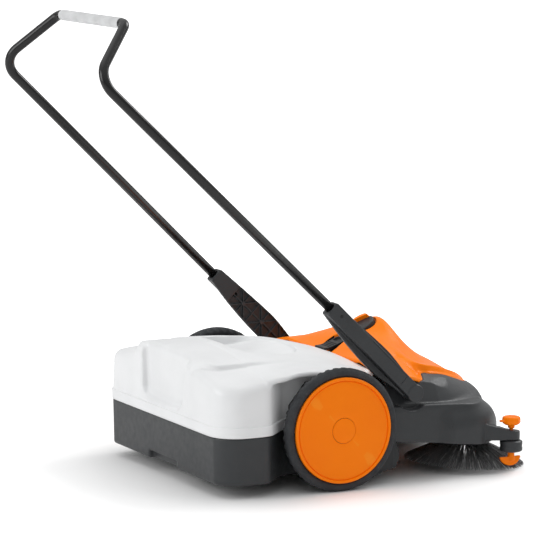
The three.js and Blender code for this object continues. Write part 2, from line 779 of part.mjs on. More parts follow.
function housingSection({ z, half, swell, nose, front }, inset) {
  const side = [0, 0.35, 0.6, 0.8, 0.9].map((share) => {
    const x = HOUSING_REAR + inset + (nose - HOUSING_REAR - inset) * share;
    return [x, half - inset + swell * THREE.MathUtils.smoothstep(x, 310, 390)];
  });
  const turn = [0, 0.2, 0.4, 0.6, 0.8, 0.93].map((share) => {
    const angle = (share * Math.PI) / 2;
    const x = nose + (front - inset - nose) * Math.sin(angle) ** (2 / NOSE_POWER);
    return [x, (half - inset + swell) * Math.cos(angle) ** (2 / NOSE_POWER)];
  });
  const points = [...side, ...turn];
  return {
    one: points.map(([x, y]) => new THREE.Vector3(x, y, z)),
    other: points.map(([x, y]) => new THREE.Vector3(x, -y, z)),
  };
}

// Half width of the hood, its height at the edge and along the middle, and how broad its top is.
const HOOD_HALF = [
  [143, 314], [240, 314], [290, 286], [365, 258], [410, 226], [460, 182], [500, 130], [524, 100],
  [545, 58],
];
const HOOD_EDGE = [
  [143, 284], [180, 289], [230, 285], [290, 262], [365, 254], [410, 240], [460, 224], [520, 204],
  [545, 196],
];
const HOOD_MIDDLE = [
  [143, 299], [160, 309], [180, 323], [205, 336], [232, 346], [262, 359], [290, 374], [306, 379],
  [316, 374], [330, 361], [349, 334], [380, 300], [411, 278], [443, 261], [480, 240], [505, 225],
  [524, 214], [545, 203],
];
const HOOD_FULLNESS = [[240, 2.6], [330, 1.3]];
const HOOD_STATIONS = [
  HOOD_REAR, 160, 180, 205, 232, 262, 290, 306, 320, 334, 350, 380, 411, 450, 490, 524, 545,
];
const HOOD_SHARES = [-1, -0.72, -0.45, -0.25, -0.1, 0.1, 0.25, 0.45, 0.72, 1];

function hoodHeight(x, y) {
  const share = Math.min(1, Math.abs(y) / along(HOOD_HALF, x));
  const edge = along(HOOD_EDGE, x);
  return edge + (along(HOOD_MIDDLE, x) - edge) * (1 - share ** along(HOOD_FULLNESS, x));
}

// A layer that follows the hood, from one offset to another, grown sideways by the margin.
function hoodLayer(low, high, margin) {
  const last = HOOD_STATIONS.length - 1;
  return solid(lofted(HOOD_STATIONS.map((station, index) => {
    const ends = { 0: -margin, [last]: margin };
    const x = station + (ends[index] ?? 0);
    const half = along(HOOD_HALF, station);
    const places = HOOD_SHARES.map((share) => ({
      y: share * half + share * margin,
      z: hoodHeight(station, share * half),
    }));
    return {
      one: places.map(({ y, z }) => new THREE.Vector3(x, y, z + high)),
      other: places.map(({ y, z }) => new THREE.Vector3(x, y, z + low)),
    };
  })));
}

// Bracket on the right for the edge roller.
function edgeBracket() {
  const plan = new THREE.Shape();
  plan.moveTo(420, -300);
  plan.lineTo(420, -362);
  plan.lineTo(EDGE_X - 4, EDGE_Y - 24);
  plan.absarc(EDGE_X, EDGE_Y, 24, -Math.PI / 2, 0.35);
  plan.lineTo(EDGE_X + 6, -300);
  const side = outline([400, 84], [560, 90], [560, 108], [400, 136]);
  return solid(alongZ(plan, 60, 160, 8)).intersect(solid(alongY(side, -ABOVE, ABOVE)));
}

// A disc about the handle's pivot, on one side of the machine; low and high are from the middle.
function aboutPivot(radius, low, high, side) {
  const disc = rodY(radius, low, high, 28).translate(PIVOT_X, 0, PIVOT_Z);
  return solid(side > 0 ? disc : mirrored(disc));
}

// The back and the lower rim of the pocket that the arm's boss sits in.
function pocketLining(side) {
  const rear = HOUSING_REAR - CLEAR;
  const belowHood = solid(block([rear, -ABOVE, 150], [300, ABOVE, HOOD_SEAT_Z]));
  const belowLedge = solid(block([rear, -ABOVE, 150], [300, ABOVE, LEDGE_Z]));
  const radius = POCKET_RADIUS + SKIN;
  const back = aboutPivot(radius, POCKET_INNER - SKIN, POCKET_INNER + 1, side);
  const rim = aboutPivot(radius, POCKET_INNER - 1, SKIRT_HALF - 2, side);
  return joined(back.intersect(belowHood), rim.intersect(belowLedge));
}

function housing() {
  const outside = solid(lofted(HOUSING_LEVELS.map((level) => housingSection(level, 0))));
  const inside = solid(lofted(HOUSING_LEVELS.map((level) => {
    const z = level.z - (HOUSING_DROPS[level.z] ?? 0);
    return housingSection({ ...level, z }, HULL);
  })));
  const belly = outline([160, 40], [620, 40], [620, 84], [430, 80], [160, 109]);
  const underneath = solid(alongY(belly, -ABOVE, ABOVE));
  const backHalf = FRAME_OUTER - 1;
  const backOpening = solid(block([160, -backHalf, 60], [190, backHalf, 300]));
  const shell = joined(
    cut(outside, inside, backOpening, underneath),
    pocketLining(1),
    pocketLining(-1),
    edgeBracket().subtract(inside),
  );
  return cut(
    shell,
    aboutPivot(POCKET_RADIUS, POCKET_INNER, ABOVE, 1),
    aboutPivot(POCKET_RADIUS, POCKET_INNER, ABOVE, -1),
    solid(rodY(PIN_RADIUS + GAP, -330, 330).translate(PIVOT_X, 0, PIVOT_Z)),
    hoodLayer(-140, 90, -14),
    hoodLayer(-HOOD_THICKNESS - GAP, 90, GAP),
    solid(rodZ(EDGE_SPINDLE_RADIUS + RUN, 60, 200).translate(EDGE_X, EDGE_Y, 0)),
  );
}

add('housing', housing(), DARK);

// ---------------------------------------------------------------- hood, latch and dial

function atDial(geometry) {
  return geometry.rotateY(DIAL_TILT).translate(DIAL_X, 0, DIAL_Z);
}

// The trough that holds the latch: a strip under the hood's surface, bounded in plan.
function channelBand(low, high, inset) {
  const half = CHANNEL_HALF - inset;
  const plan = block([HOOD_REAR + 1, -half, 200], [CHANNEL_FRONT - inset, half, ABOVE + CLEAR]);
  return hoodLayer(low, high, 0).intersect(solid(plan));
}

function hood() {
  const cup = solid(atDial(rodZ(DIAL_RADIUS + 7, -20, 60, 32)));
  const cupSpace = solid(atDial(rodZ(DIAL_RADIUS + 3, -12, 80, 32)));
  const shaftHole = solid(atDial(rodZ(6 + RUN, -40, 0, 12)));
  const wall = cup.intersect(hoodLayer(-60, 0, 0));
  const skin = joined(hoodLayer(-HOOD_THICKNESS, 0, 0), wall);
  return cut(skin, cupSpace, shaftHole, channelBand(-40, 20, 0));
}

function latchChannel() {
  return cut(
    channelBand(-CHANNEL_DEPTH, -1, GAP),
    channelBand(-CHANNEL_DEPTH + SKIN, CLEAR, GAP + 2.5),
  );
}

add('hood', hood(), ORANGE);
add('latch_channel', latchChannel(), BLACK);

// Lever that lies in the trough, hooked over the edge of the lid, and its pin.
function latchLever() {
  const side = outline(
    [132, 306], [132, 311], [148, 312], [178, 321], [204, 330], [213, 330], [217, 323],
    [212, 314], [200, 313], [178, 306], [160, 301], [147, 304],
  );
  const lever = solid(alongY(side, -LATCH_HALF, LATCH_HALF));
  const bore = rodY(LATCH_PIN_RADIUS + RUN, -CHANNEL_HALF, CHANNEL_HALF, 12);
  return cut(lever, solid(bore.translate(LATCH_X, 0, LATCH_Z)));
}

function latchPin() {
  const end = CHANNEL_HALF - 4;
  return rodY(LATCH_PIN_RADIUS, -end, end, 12).translate(LATCH_X, 0, LATCH_Z);
}

function heightDial() {
  return turnedZ([
    [0, -30],
    [6, -30],
    [6, -12 + GAP],
    [DIAL_RADIUS, -12 + GAP],
    [DIAL_RADIUS, 3],
    [DIAL_RADIUS - 2, 5],
    [0, 5],
  ], 32);
}

function dialGrip() {
  const bar = alongZ(outline([18, -28], [31, -16], [31, 16], [18, 28]), 5 + GAP, 16);
  return bar.rotateZ(GRIP_TURN);
}

add('latch_lever', latchLever(), BLACK);
add('latch_pin', latchPin(), STEEL);
add('height_dial', atDial(heightDial()), DARK);
add('dial_grip', atDial(dialGrip()), ORANGE);

// ---------------------------------------------------------------- handle

// Arm pieces are drawn along X from the pivot, with +Z towards the machine, then leaned back.
function onArm(geometry) {
  return geometry.rotateY(-ARM_ANGLE).translate(PIVOT_X, 0, PIVOT_Z);
}

function armBeam() {
  const half = 20;
  const boss = 24;
  const start = Math.acos(Math.sqrt(boss ** 2 - half ** 2) / boss);
  const shape = new THREE.Shape();
  shape.moveTo(ARM_LENGTH, -half);
  shape.lineTo(ARM_LENGTH, half);
  shape.absarc(0, 0, boss, start, 2 * Math.PI - start);
  return alongY(shape, ARM_WEB - 1, ARM_OUTER, 8);
}

// The wider flank on the inner side, drawn with the given inset.
function armFlank(inset) {
  const end = 40 - inset;
  const shape = new THREE.Shape();
  shape.moveTo(ARM_LENGTH - inset, -20 + inset);
  shape.lineTo(ARM_LENGTH - inset, 20 - inset);
  shape.lineTo(239, 33 - inset);
  shape.lineTo(128, 39 - inset);
  shape.absarc(0, 0, end, Math.PI / 2, Math.PI * 1.4);
  shape.lineTo(128, -32 + inset);
  shape.lineTo(239, -27 + inset);
  return shape;
}

function handleArm() {
  const web = solid(onArm(alongY(armFlank(0), ARM_INNER, ARM_WEB, 7)));
  const pocketShape = solid(onArm(alongY(armFlank(3), ARM_INNER - 5, ARM_WEB - 3, 7)));
  const pocketSpan = solid(onArm(block([44, 300, -60], [262, ARM_WEB, 60])));
  const star = (centre) => [0, 45, 90, 135].map((angle) => {
    const bar = block([-60, ARM_INNER + 0.5, -1.5], [60, ARM_WEB - 1, 1.5]);
    return solid(onArm(bar.rotateY(THREE.MathUtils.degToRad(angle)).translate(centre, 0, 3)));
  });
  const ribSpan = solid(onArm(alongY(armFlank(1.5), ARM_INNER, ARM_WEB - 0.5, 7)));
  const ribs = joined(...star(223), ...star(144), ...star(65)).intersect(ribSpan);
  const arm = joined(solid(onArm(armBeam())), cut(web, pocketShape.intersect(pocketSpan)), ribs);
  const socket = solid(tubeRun(new BentLine([TUBE_INSERT, TUBE_BEND], [], 1), TUBE_RADIUS + GAP, 0));
  const pinBore = solid(rodY(PIN_RADIUS + RUN, 300, 350).translate(PIVOT_X, 0, PIVOT_Z));
  const screwBore = solid(rodY(4, 345, 365, 12).translate(SCREW_X, 0, SCREW_Z));
  return cut(arm, socket, pinBore, screwBore);
}

// A path through corners, each rounded by an arc, with one step along each straight.
class BentLine extends THREE.Curve {
  constructor(corners, radii, arcSteps) {
    super();
    this.stations = [corners[0]];
    for (let i = 1; i + 1 < corners.length; i++) {
      const back = corners[i - 1].clone().sub(corners[i]).normalize();
      const on = corners[i + 1].clone().sub(corners[i]).normalize();
      const half = back.angleTo(on) / 2;
      const towards = back.clone().add(on).normalize();
      const centre = corners[i].clone().addScaledVector(towards, radii[i - 1] / Math.sin(half));
      const start = corners[i].clone().addScaledVector(back, radii[i - 1] / Math.tan(half)).sub(centre);
      const axis = new THREE.Vector3().crossVectors(back, on).normalize().negate();
      for (let step = 0; step <= arcSteps; step++) {
        const angle = ((Math.PI - 2 * half) * step) / arcSteps;
        this.stations.push(start.clone().applyAxisAngle(axis, angle).add(centre));
      }
    }
    this.stations.push(corners.at(-1));
  }

  getPoint(share) {
    const place = Math.min(share, 1) * (this.stations.length - 1);
    const index = Math.min(Math.floor(place), this.stations.length - 2);
    return this.stations[index].clone().lerp(this.stations[index + 1], place - index);
  }

  getUtoTmapping(share) {
    return share;
  }
}

// Tube carried along a bent line, solid when the bore is 0.
function tubeRun(line, radius, bore) {
  const section = new THREE.Shape();
  section.absarc(0, 0, radius, 0, 2 * Math.PI);
  if (bore > 0) section.holes.push(new THREE.Path().absarc(0, 0, bore, 0, 2 * Math.PI));
  const steps = line.stations.length - 1;
  const options = { steps, extrudePath: line, curveSegments: 6, bevelEnabled: false };
  return new THREE.ExtrudeGeometry(section, options);
}

function handleTube() {
  const left = [TUBE_INSERT, TUBE_BEND, TUBE_CORNER];
  const right = left.toReversed().map((p) => new THREE.Vector3(p.x, -p.y, p.z));
  const line = new BentLine([...left, ...right], BEND_RADII, 5);
  const holes = solid(rodY(3.4, -365, 365, 10).translate(SCREW_X, 0, SCREW_Z));
  return cut(solid(tubeRun(line, TUBE_RADIUS, TUBE_BORE)), holes);
}

function armScrew() {
  return turnedY([
    [0, 350],
    [3, 350],
    [3, 354],
    [3.7, 354],
    [3.7, 357],
    [0, 357],
  ], 12).translate(SCREW_X, 0, SCREW_Z);
}

function pivotBolt() {
  return turnedY([
    [0, POCKET_INNER - SKIN - 7],
    [15, POCKET_INNER - SKIN - 7],
    [15, POCKET_INNER - SKIN - GAP],
    [PIN_RADIUS, POCKET_INNER - SKIN - GAP],
    [PIN_RADIUS, 349],
    [0, 349],
  ], 20).translate(PIVOT_X, 0, PIVOT_Z);
}

function gripSleeve() {
  const sleeve = turnedY(ring(TUBE_RADIUS + GAP, GRIP_RADIUS, -GRIP_HALF, GRIP_HALF), 20);
  return sleeve.translate(TUBE_CORNER.x, 0, TUBE_CORNER.z);
}

addPair('handle_arm', handleArm(), DARK);
addPair('arm_screw', armScrew(), BLACK_PAINT);
addPair('pivot_bolt', pivotBolt(), STEEL);
add('handle_tube', handleTube(), BLACK_PAINT);
add('grip_sleeve', gripSleeve(), PALE_GRIP);

// ---------------------------------------------------------------- edge roller and hold-down

function atEdge(geometry) {
  return geometry.translate(EDGE_X, EDGE_Y, 0);
}

function holdDownKnob() {
  const knob = turnedZ([
    [0, 44],
    [EDGE_SPINDLE_RADIUS, 44],
    [EDGE_SPINDLE_RADIUS, 122],
    [9, 126],
    [20, 129],
    [24, 133],
    [24, 146],
    [21, 149],
    [0, 149],
  ], 24);
  const lever = outline([0, -5], [0, 5], [-33, 5], [-36, 0]);
  return joined(solid(knob), solid(alongZ(lever, 136, 142)));
}

// Half-moon blade at the foot of the spindle.
function holdDownFin() {
  const shape = new THREE.Shape();
  shape.moveTo(28, 42);
  shape.lineTo(28, 38);
  shape.quadraticCurveTo(16, 17, 0, 17);
  shape.quadraticCurveTo(-16, 17, -28, 38);
  shape.lineTo(-28, 42);
  const blade = alongY(shape, -2.5, 2.5, 6);
  const boss = rodZ(9, 30, 54, 16);
  const bore = rodZ(EDGE_SPINDLE_RADIUS + GAP, 44 - GAP, 60, 12);
  return cut(joined(solid(blade), solid(boss)), solid(bore));
}

function edgeRoller() {
  return turnedZ(ring(EDGE_SPINDLE_RADIUS + RUN, EDGE_RADIUS, 56, 86), 28);
}

add('edge_roller', atEdge(edgeRoller()), DARK);
add('hold_down_knob', atEdge(geometryOf(holdDownKnob())), ORANGE);
add('hold_down_fin', atEdge(geometryOf(holdDownFin())), ORANGE);

// ---------------------------------------------------------------- origin

const span = new THREE.Box3().setFromObject(machine, true);
machine.position.x = -(span.min.x + span.max.x) / 2;
machine.updateMatrixWorld(true);

export default machine;
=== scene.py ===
"""The looks of a walk-behind sweeper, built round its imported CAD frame.

Shapes are drawn in millimetres, with X measured from the wheel axle, Y to the machine's left and
Z up from the floor; make_object() turns them into metres in the frame. The moulded parts are
fields, negative inside, whose zero surface is meshed by net(); turned, swept and extruded parts
are built directly.
"""

import json
import math
import random

import bmesh
import bpy
import numpy as np
from mathutils import Matrix, Vector


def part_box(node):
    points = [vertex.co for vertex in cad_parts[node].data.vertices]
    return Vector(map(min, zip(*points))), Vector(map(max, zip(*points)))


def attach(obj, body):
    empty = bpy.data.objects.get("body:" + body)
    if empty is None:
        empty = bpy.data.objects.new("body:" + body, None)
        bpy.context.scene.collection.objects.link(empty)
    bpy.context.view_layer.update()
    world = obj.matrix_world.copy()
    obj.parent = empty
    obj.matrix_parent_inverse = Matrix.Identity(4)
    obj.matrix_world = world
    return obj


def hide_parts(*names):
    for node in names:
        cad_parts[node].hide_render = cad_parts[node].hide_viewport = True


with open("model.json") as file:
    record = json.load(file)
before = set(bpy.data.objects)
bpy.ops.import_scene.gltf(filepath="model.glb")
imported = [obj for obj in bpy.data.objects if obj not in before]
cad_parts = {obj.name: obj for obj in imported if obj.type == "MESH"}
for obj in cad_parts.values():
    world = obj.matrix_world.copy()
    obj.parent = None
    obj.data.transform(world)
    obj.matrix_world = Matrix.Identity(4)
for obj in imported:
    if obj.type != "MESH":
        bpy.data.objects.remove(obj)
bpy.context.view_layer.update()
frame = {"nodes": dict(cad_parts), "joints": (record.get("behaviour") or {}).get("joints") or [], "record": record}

JOINTS = {joint["name"]: joint for joint in frame["joints"]}
MM = 0.001
SAME_PLACE = 1e-6  # metres; nearer vertices are merged


def joint_place(name):
    """A joint's anchor in design millimetres."""
    x, y, z = JOINTS[name]["pos_m"]
    return Vector(((x - AXLE_X) / MM, y / MM, z / MM))


AXLE_X, _, WHEEL_Z = JOINTS["wheel_left_spin"]["pos_m"]
WHEEL_RADIUS = WHEEL_Z / MM


def design_box(node):
    """A CAD node's lowest and highest corner, in design millimetres."""
    low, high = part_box(node)
    shift = Vector((AXLE_X, 0, 0))
    return (low - shift) / MM, (high - shift) / MM


# ---- number helpers


def between(knots, place, smooth=True):
    """Values read from a line of (place, value) knots, as a smooth curve or as straight runs."""
    at = np.array([k[0] for k in knots], float)
    value = np.array([k[1] for k in knots], float)
    place = np.clip(place, at[0], at[-1])
    if not smooth:
        return np.interp(place, at, value)
    rise = np.diff(value) / np.diff(at)
    slope = np.empty_like(value)
    slope[0], slope[-1] = rise[0], rise[-1]
    slope[1:-1] = np.where(rise[1:] * rise[:-1] > 0, (rise[1:] + rise[:-1]) / 2, 0)
    index = np.clip(np.searchsorted(at, place, side="right") - 1, 0, len(at) - 2)
    width = at[index + 1] - at[index]
    t = (place - at[index]) / width
    one, two = value[index], value[index + 1]
    return (
        one * (2 * t**3 - 3 * t**2 + 1)
        + slope[index] * width * (t**3 - 2 * t**2 + t)
        + two * (3 * t**2 - 2 * t**3)
        + slope[index + 1] * width * (t**3 - t**2)
    )


def ease(value, low, high):
    """0 below low, 1 above high, and a smooth step between them."""
    t = np.clip((value - low) / (high - low), 0, 1)
    return t * t * (3 - 2 * t)


def overlap(a, b, radius=0.0):
    """What is inside both fields, with the edge between them rounded."""
    corner = np.hypot(np.maximum(a + radius, 0), np.maximum(b + radius, 0))
    return np.minimum(np.maximum(a, b), -radius) + corner


def union(a, b, radius=0.0):
    """What is inside either field, with the corner between them filled."""
    return -overlap(-a, -b, radius)


def without(a, b, radius=0.0):
    """What is inside a and outside b, with the edge rounded."""
    return overlap(a, -b, radius)


def slab(value, low, high):
    return np.maximum(low - value, value - high)


# ---- mesh helpers


def make_object(name, points, faces):
    """A smooth mesh object from design millimetres. faces is an array of quads or a list of loops."""
    mesh = bpy.data.meshes.new(name)
    mesh.from_pydata(np.asarray(points, float) * MM + (AXLE_X, 0, 0), [], faces)
    mesh.validate()
    shape = bmesh.new()
    shape.from_mesh(mesh)
    bmesh.ops.remove_doubles(shape, verts=shape.verts, dist=SAME_PLACE)
    loose = [v for v in shape.verts if not v.link_faces]
    bmesh.ops.delete(shape, geom=loose, context="VERTS")
    if not isinstance(faces, np.ndarray):
        bmesh.ops.recalc_face_normals(shape, faces=shape.faces)
    shape.to_mesh(mesh)
    shape.free()
    mesh.polygons.foreach_set("use_smooth", [True] * len(mesh.polygons))
    piece = bpy.data.objects.new(name, mesh)
    bpy.context.scene.collection.objects.link(piece)
    return piece


NEWTON_STEPS = 4
STEP_REACH = 0.6  # of the grid's step, the furthest that one step moves a point
NUDGE = 0.05
FLATTEST = 0.05  # the least square of a field's slope that a step divides by


def net(field, x, y, z, keep=None):
    """Points and quads of the surface where field is zero, on a grid of the given coordinates.

    Each cell that the surface crosses gets one point, which Newton steps then move onto it. keep
    tells by the middles of the quads which of them stay.
    """
    axes = (x, y, z)
    value = field(*np.meshgrid(*axes, indexing="ij", sparse=True))
    value = np.broadcast_to(value, [len(a) for a in axes])
    inside = value < 0
    cells = tuple(len(a) - 1 for a in axes)
    total = np.zeros((int(np.prod(cells)), 3))
    count = np.zeros(len(total))
    rings = []
    for axis in range(3):
        u, v = (axis + 1) % 3, (axis + 2) % 3
        low = [slice(None)] * 3
        high = [slice(None)] * 3
        low[axis], high[axis] = slice(0, -1), slice(1, None)
        low, high = tuple(low), tuple(high)
        index = np.argwhere(inside[low] != inside[high])
        a, b = value[low][tuple(index.T)], value[high][tuple(index.T)]
        point = np.stack([axes[k][index[:, k]] for k in range(3)], 1).astype(float)
        step = axes[axis][index[:, axis] + 1] - axes[axis][index[:, axis]]
        point[:, axis] += step * a / (a - b)
        ring = []
        whole = np.ones(len(index), bool)
        for du, dv in ((0, 0), (-1, 0), (-1, -1), (0, -1)):
            cell = index.copy()
            cell[:, u] += du
            cell[:, v] += dv
            real = ((cell >= 0) & (cell < cells)).all(1)
            whole &= real
            flat = np.ravel_multi_index(np.clip(cell, 0, np.array(cells) - 1).T, cells)
            for k in range(3):
                total[:, k] += np.bincount(flat[real], point[real, k], len(total))
            count += np.bincount(flat[real], minlength=len(total))
            ring.append(flat)
        quads = np.stack(ring, 1)
        quads[b < 0] = quads[b < 0][:, ::-1]
        rings.append(quads[whole])
    used = np.flatnonzero(count)
    number = np.full(len(total), -1)
    number[used] = np.arange(len(used))
    points = total[used] / count[used, None]
    faces = number[np.concatenate(rings)]
    reach = STEP_REACH * min(float(np.diff(a).max()) for a in axes)
    for _ in range(NEWTON_STEPS):
        points -= newton_step(field, points, reach)
    if keep is not None:
        faces = faces[keep(*points[faces].mean(1).T)]
    return points, faces


def newton_step(field, points, reach):
    """How far each point is moved to come nearer to the field's zero surface."""
    x, y, z = points.T
    here = field(x, y, z)
    slope = np.stack([
        field(x + NUDGE, y, z) - field(x - NUDGE, y, z),
        field(x, y + NUDGE, z) - field(x, y - NUDGE, z),
        field(x, y, z + NUDGE) - field(x, y, z - NUDGE),
    ], 1) / (2 * NUDGE)
    square = np.maximum((slope**2).sum(1), FLATTEST)
    step = slope * (here / square)[:, None]
    length = np.maximum(np.linalg.norm(step, axis=1), 1e-9)
    return step * np.minimum(1, reach / length)[:, None]


def graded(low, high, step, *fine):
    """Grid coordinates from low to high, closer together round each (middle, half, step)."""
    marks = [low]
    while marks[-1] < high:
        at = marks[-1]
        width = step
        for middle, half, small in fine:
            if at < middle - half:
                width = min(width, max(middle - half - at, small))
            elif at < middle + half:
                width = min(width, small)
        marks.append(at + width)
    return np.array(marks)


def grid(step, *spans):
    """Even grid coordinates over each (low, high)."""
    return [graded(low, high, step) for low, high in spans]


TRIM_PASSES = 14


def trimmed(points, faces):
    """Evens out the cut edge of an open skin, which otherwise follows the grid in steps."""
    edges = np.sort(np.concatenate([faces[:, [i, (i + 1) % 4]] for i in range(4)]), axis=1)
    edges, uses = np.unique(edges, axis=0, return_counts=True)
    rim = edges[uses == 1]
    if not len(rim):
        return points
    ends = np.concatenate([rim, rim[:, ::-1]])
    count = np.bincount(ends[:, 0], minlength=len(points))
    moved = count == 2
    for _ in range(TRIM_PASSES):
        total = [np.bincount(ends[:, 0], points[ends[:, 1], i], len(points)) for i in range(3)]
        points = np.where(moved[:, None], points * 0.5 + np.stack(total, 1) * 0.25, points)
    return points


def moulded(name, field, x, y, z, keep=None, wall=0.0):
    """A moulded part from a field, as an open skin given a wall, or as a closed body."""
    points, faces = net(field, x, y, z, keep)
    piece = make_object(name, trimmed(points, faces), faces)
    if wall:
        shell = piece.modifiers.new("wall", "SOLIDIFY")
        shell.thickness = wall * MM
        shell.offset = -1
        shell.use_even_offset = False
    return piece


EDGE_SHARE = 0.49  # of an outline's edge, the most that the rounding of one end may take


def rounded(corners, steps, loop=True):
    """2D points of an outline whose corners are (a, b, radius), each rounded by a curve."""
    made = []
    count = len(corners)
    for i, (a, b, radius) in enumerate(corners):
        here = np.array([a, b], float)
        end = not loop and i in (0, count - 1)
        if radius <= 0 or end:
            made.append(here)
            continue
        back = np.array(corners[i - 1][:2], float) - here
        on = np.array(corners[(i + 1) % count][:2], float) - here
        back_length, on_length = np.linalg.norm(back), np.linalg.norm(on)
        back, on = back / back_length, on / on_length
        half = math.acos(float(np.clip(back @ on, -1, 1))) / 2
        cut = min(radius / math.tan(half), EDGE_SHARE * back_length, EDGE_SHARE * on_length)
        start, stop = here + back * cut, here + on * cut
        for t in np.arange(steps + 1) / steps:
            made.append((1 - t) ** 2 * start + 2 * t * (1 - t) * here + t * t * stop)
    return made


def turned(name, corners, centre, segments=96, axis="Y", wave=None, closed=True, steps=4):
    """A solid turned about an axis through centre.

    corners are (radius, place along the axis, rounding) and close to a ring, or else begin and end
    on the axis. wave takes radius, place and angle and gives the radius and place to use instead.
    """
    profile = rounded(corners, steps, loop=closed)
    if closed:
        profile.append(profile[0])
    profile = np.array(profile, float)
    angle = np.linspace(0, 2 * math.pi, segments, endpoint=False)
    radius = profile[None, :, 0] + np.zeros((segments, 1))
    along = profile[None, :, 1] + np.zeros((segments, 1))
    if wave is not None:
        radius, along = wave(radius, along, angle[:, None])
    one, two = radius * np.cos(angle)[:, None], radius * np.sin(angle)[:, None]
    order = (one, two, along) if axis == "Z" else (two, along, one)
    points = np.stack(order, -1).reshape(-1, 3) + np.array(centre)
    count = len(profile)
    faces = []
    for i in range(segments):
        j = (i + 1) % segments
        for k in range(count - 1):
            faces.append((i * count + k, j * count + k, j * count + k + 1, i * count + k + 1))
    return make_object(name, points, faces)


def tube_faces(rows, count):
    """Faces of a closed tube through rows of count points each, with a face at both ends."""
    faces = []
    for i in range(rows - 1):
        for k in range(count):
            j = (k + 1) % count
            faces.append((i * count + k, i * count + j, (i + 1) * count + j, (i + 1) * count + k))
    faces.append(tuple(reversed(range(count))))
    faces.append(tuple((rows - 1) * count + k for k in range(count)))
    return faces


BEVEL_SEGMENTS = 3
SHARP_ANGLE = math.radians(30)


def plate(name, outline, low, high, place, bevel):
    """An outline pulled from low to high; place turns (a, b, depth) arrays into design points."""
    a, b = np.tile(np.array(outline), (2, 1)).T
    points = np.stack(place(a, b, np.repeat([low, high], len(outline))), 1)
    piece = make_object(name, points, tube_faces(2, len(outline)))
    edge = piece.modifiers.new("edges", "BEVEL")
    edge.width = bevel * MM
    edge.segments = BEVEL_SEGMENTS
    edge.limit_method = "ANGLE"
    edge.angle_limit = SHARP_ANGLE
    piece.modifiers.new("shading", "WEIGHTED_NORMAL").keep_sharp = True
    return piece


def swept(name, path, section):
    """A section of (across, up) points carried along a path with little twist, with closed ends."""
    path = [Vector(p) for p in path]
    section = np.array(section, float)
    rows = []
    heading = (path[1] - path[0]).normalized()
    side = heading.orthogonal().normalized()
    for i, here in enumerate(path):
        ahead = (path[min(i + 1, len(path) - 1)] - path[max(i - 1, 0)]).normalized()
        side = (side - ahead * side.dot(ahead)).normalized()
        up = ahead.cross(side)
        rows.append([here + side * a + up * b for a, b in section])
    points = [p[:] for row in rows for p in row]
    return make_object(name, points, tube_faces(len(rows), len(section)))


def circle(radius, count):
    turns = [2 * math.pi * k / count for k in range(count)]
    return [(radius * math.cos(turn), radius * math.sin(turn)) for turn in turns]


def show(piece, slot, body, node, side="left"):
    """Gives a piece its slot's finish and its body, and hides the CAD node that it stands for.

    Pieces of a pair are built on the left; the right one is turned into a mirror image.
    """
    if side == "right":
        piece.data.transform(Matrix.Scale(-1, 4, (0, 1, 0)))
        piece.data.flip_normals()
    piece.data.materials.clear()
    piece.data.materials.append(FINISHES[slot])
    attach(piece, body)
    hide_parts(node)


def set_at(piece, spot, tilt, spin=0.0):
    """Spins a piece drawn about the origin, tilts it forwards or back, and moves it to spot."""
    turn = Matrix.Rotation(tilt, 4, "Y") @ Matrix.Rotation(spin, 4, "Z")
    home = Matrix.Translation(Vector((AXLE_X, 0, 0)))
    place = Matrix.Translation(Vector((spot.x * MM + AXLE_X, spot.y * MM, spot.z * MM)))
    piece.data.transform(place @ turn @ home.inverted())
    return piece


# ---- materials


def shader(name, colour, roughness, **plain):
    """A Principled material; plain sockets are set by name, with _ for each space."""
    material = bpy.data.materials.new(name)
    material.use_nodes = True
    tree = material.node_tree
    surface = tree.nodes["Principled BSDF"]
    surface.inputs["Base Color"].default_value = (*colour, 1)
    surface.inputs["Roughness"].default_value = roughness
    for socket, value in plain.items():
        surface.inputs[socket.replace("_", " ")].default_value = value
    return material, tree, surface


def add_node(tree, kind, *values, operation=None, **named):
    """A new node, its sockets set in order or by name (_ for a space), to a value or by a link."""
    made = tree.nodes.new("ShaderNode" + kind)
    if operation:
        made.operation = operation
    for key, value in [*enumerate(values), *named.items()]:
        socket = made.inputs[key if isinstance(key, int) else key.replace("_", " ")]
        if isinstance(value, bpy.types.NodeSocket):
            tree.links.new(value, socket)
        else:
            socket.default_value = value
    return made


def noise(tree, scale, detail, stretch=(1, 1, 1)):
    """Noise in the piece's own coordinates; scale is in waves per metre."""
    place = add_node(tree, "TexCoord").outputs["Object"]
    sized = add_node(tree, "Mapping", Vector=place, Scale=stretch).outputs["Vector"]
    return add_node(tree, "TexNoise", Vector=sized, Scale=scale, Detail=detail).outputs["Fac"]


NOISE_LOW, NOISE_HIGH = 0.3, 0.7  # noise seldom leaves this range
EDGE_FLAT, EDGE_SHARP = 0.52, 0.62  # pointiness where wear begins and where it is full


def spread(tree, value, low, high):
    """Noise spread over the range from low to high."""
    scaled = add_node(
        tree, "MapRange", Value=value, From_Min=NOISE_LOW, From_Max=NOISE_HIGH, To_Min=low, To_Max=high
    )
    return scaled.outputs["Result"]


def blended(tree, value, one, two):
    """A colour between two, by noise."""
    ramp = add_node(tree, "ValToRGB", Fac=value)
    low, high = ramp.color_ramp.elements
    low.position, high.position = NOISE_LOW, NOISE_HIGH
    low.color, high.color = (*one, 1), (*two, 1)
    return ramp.outputs["Color"]


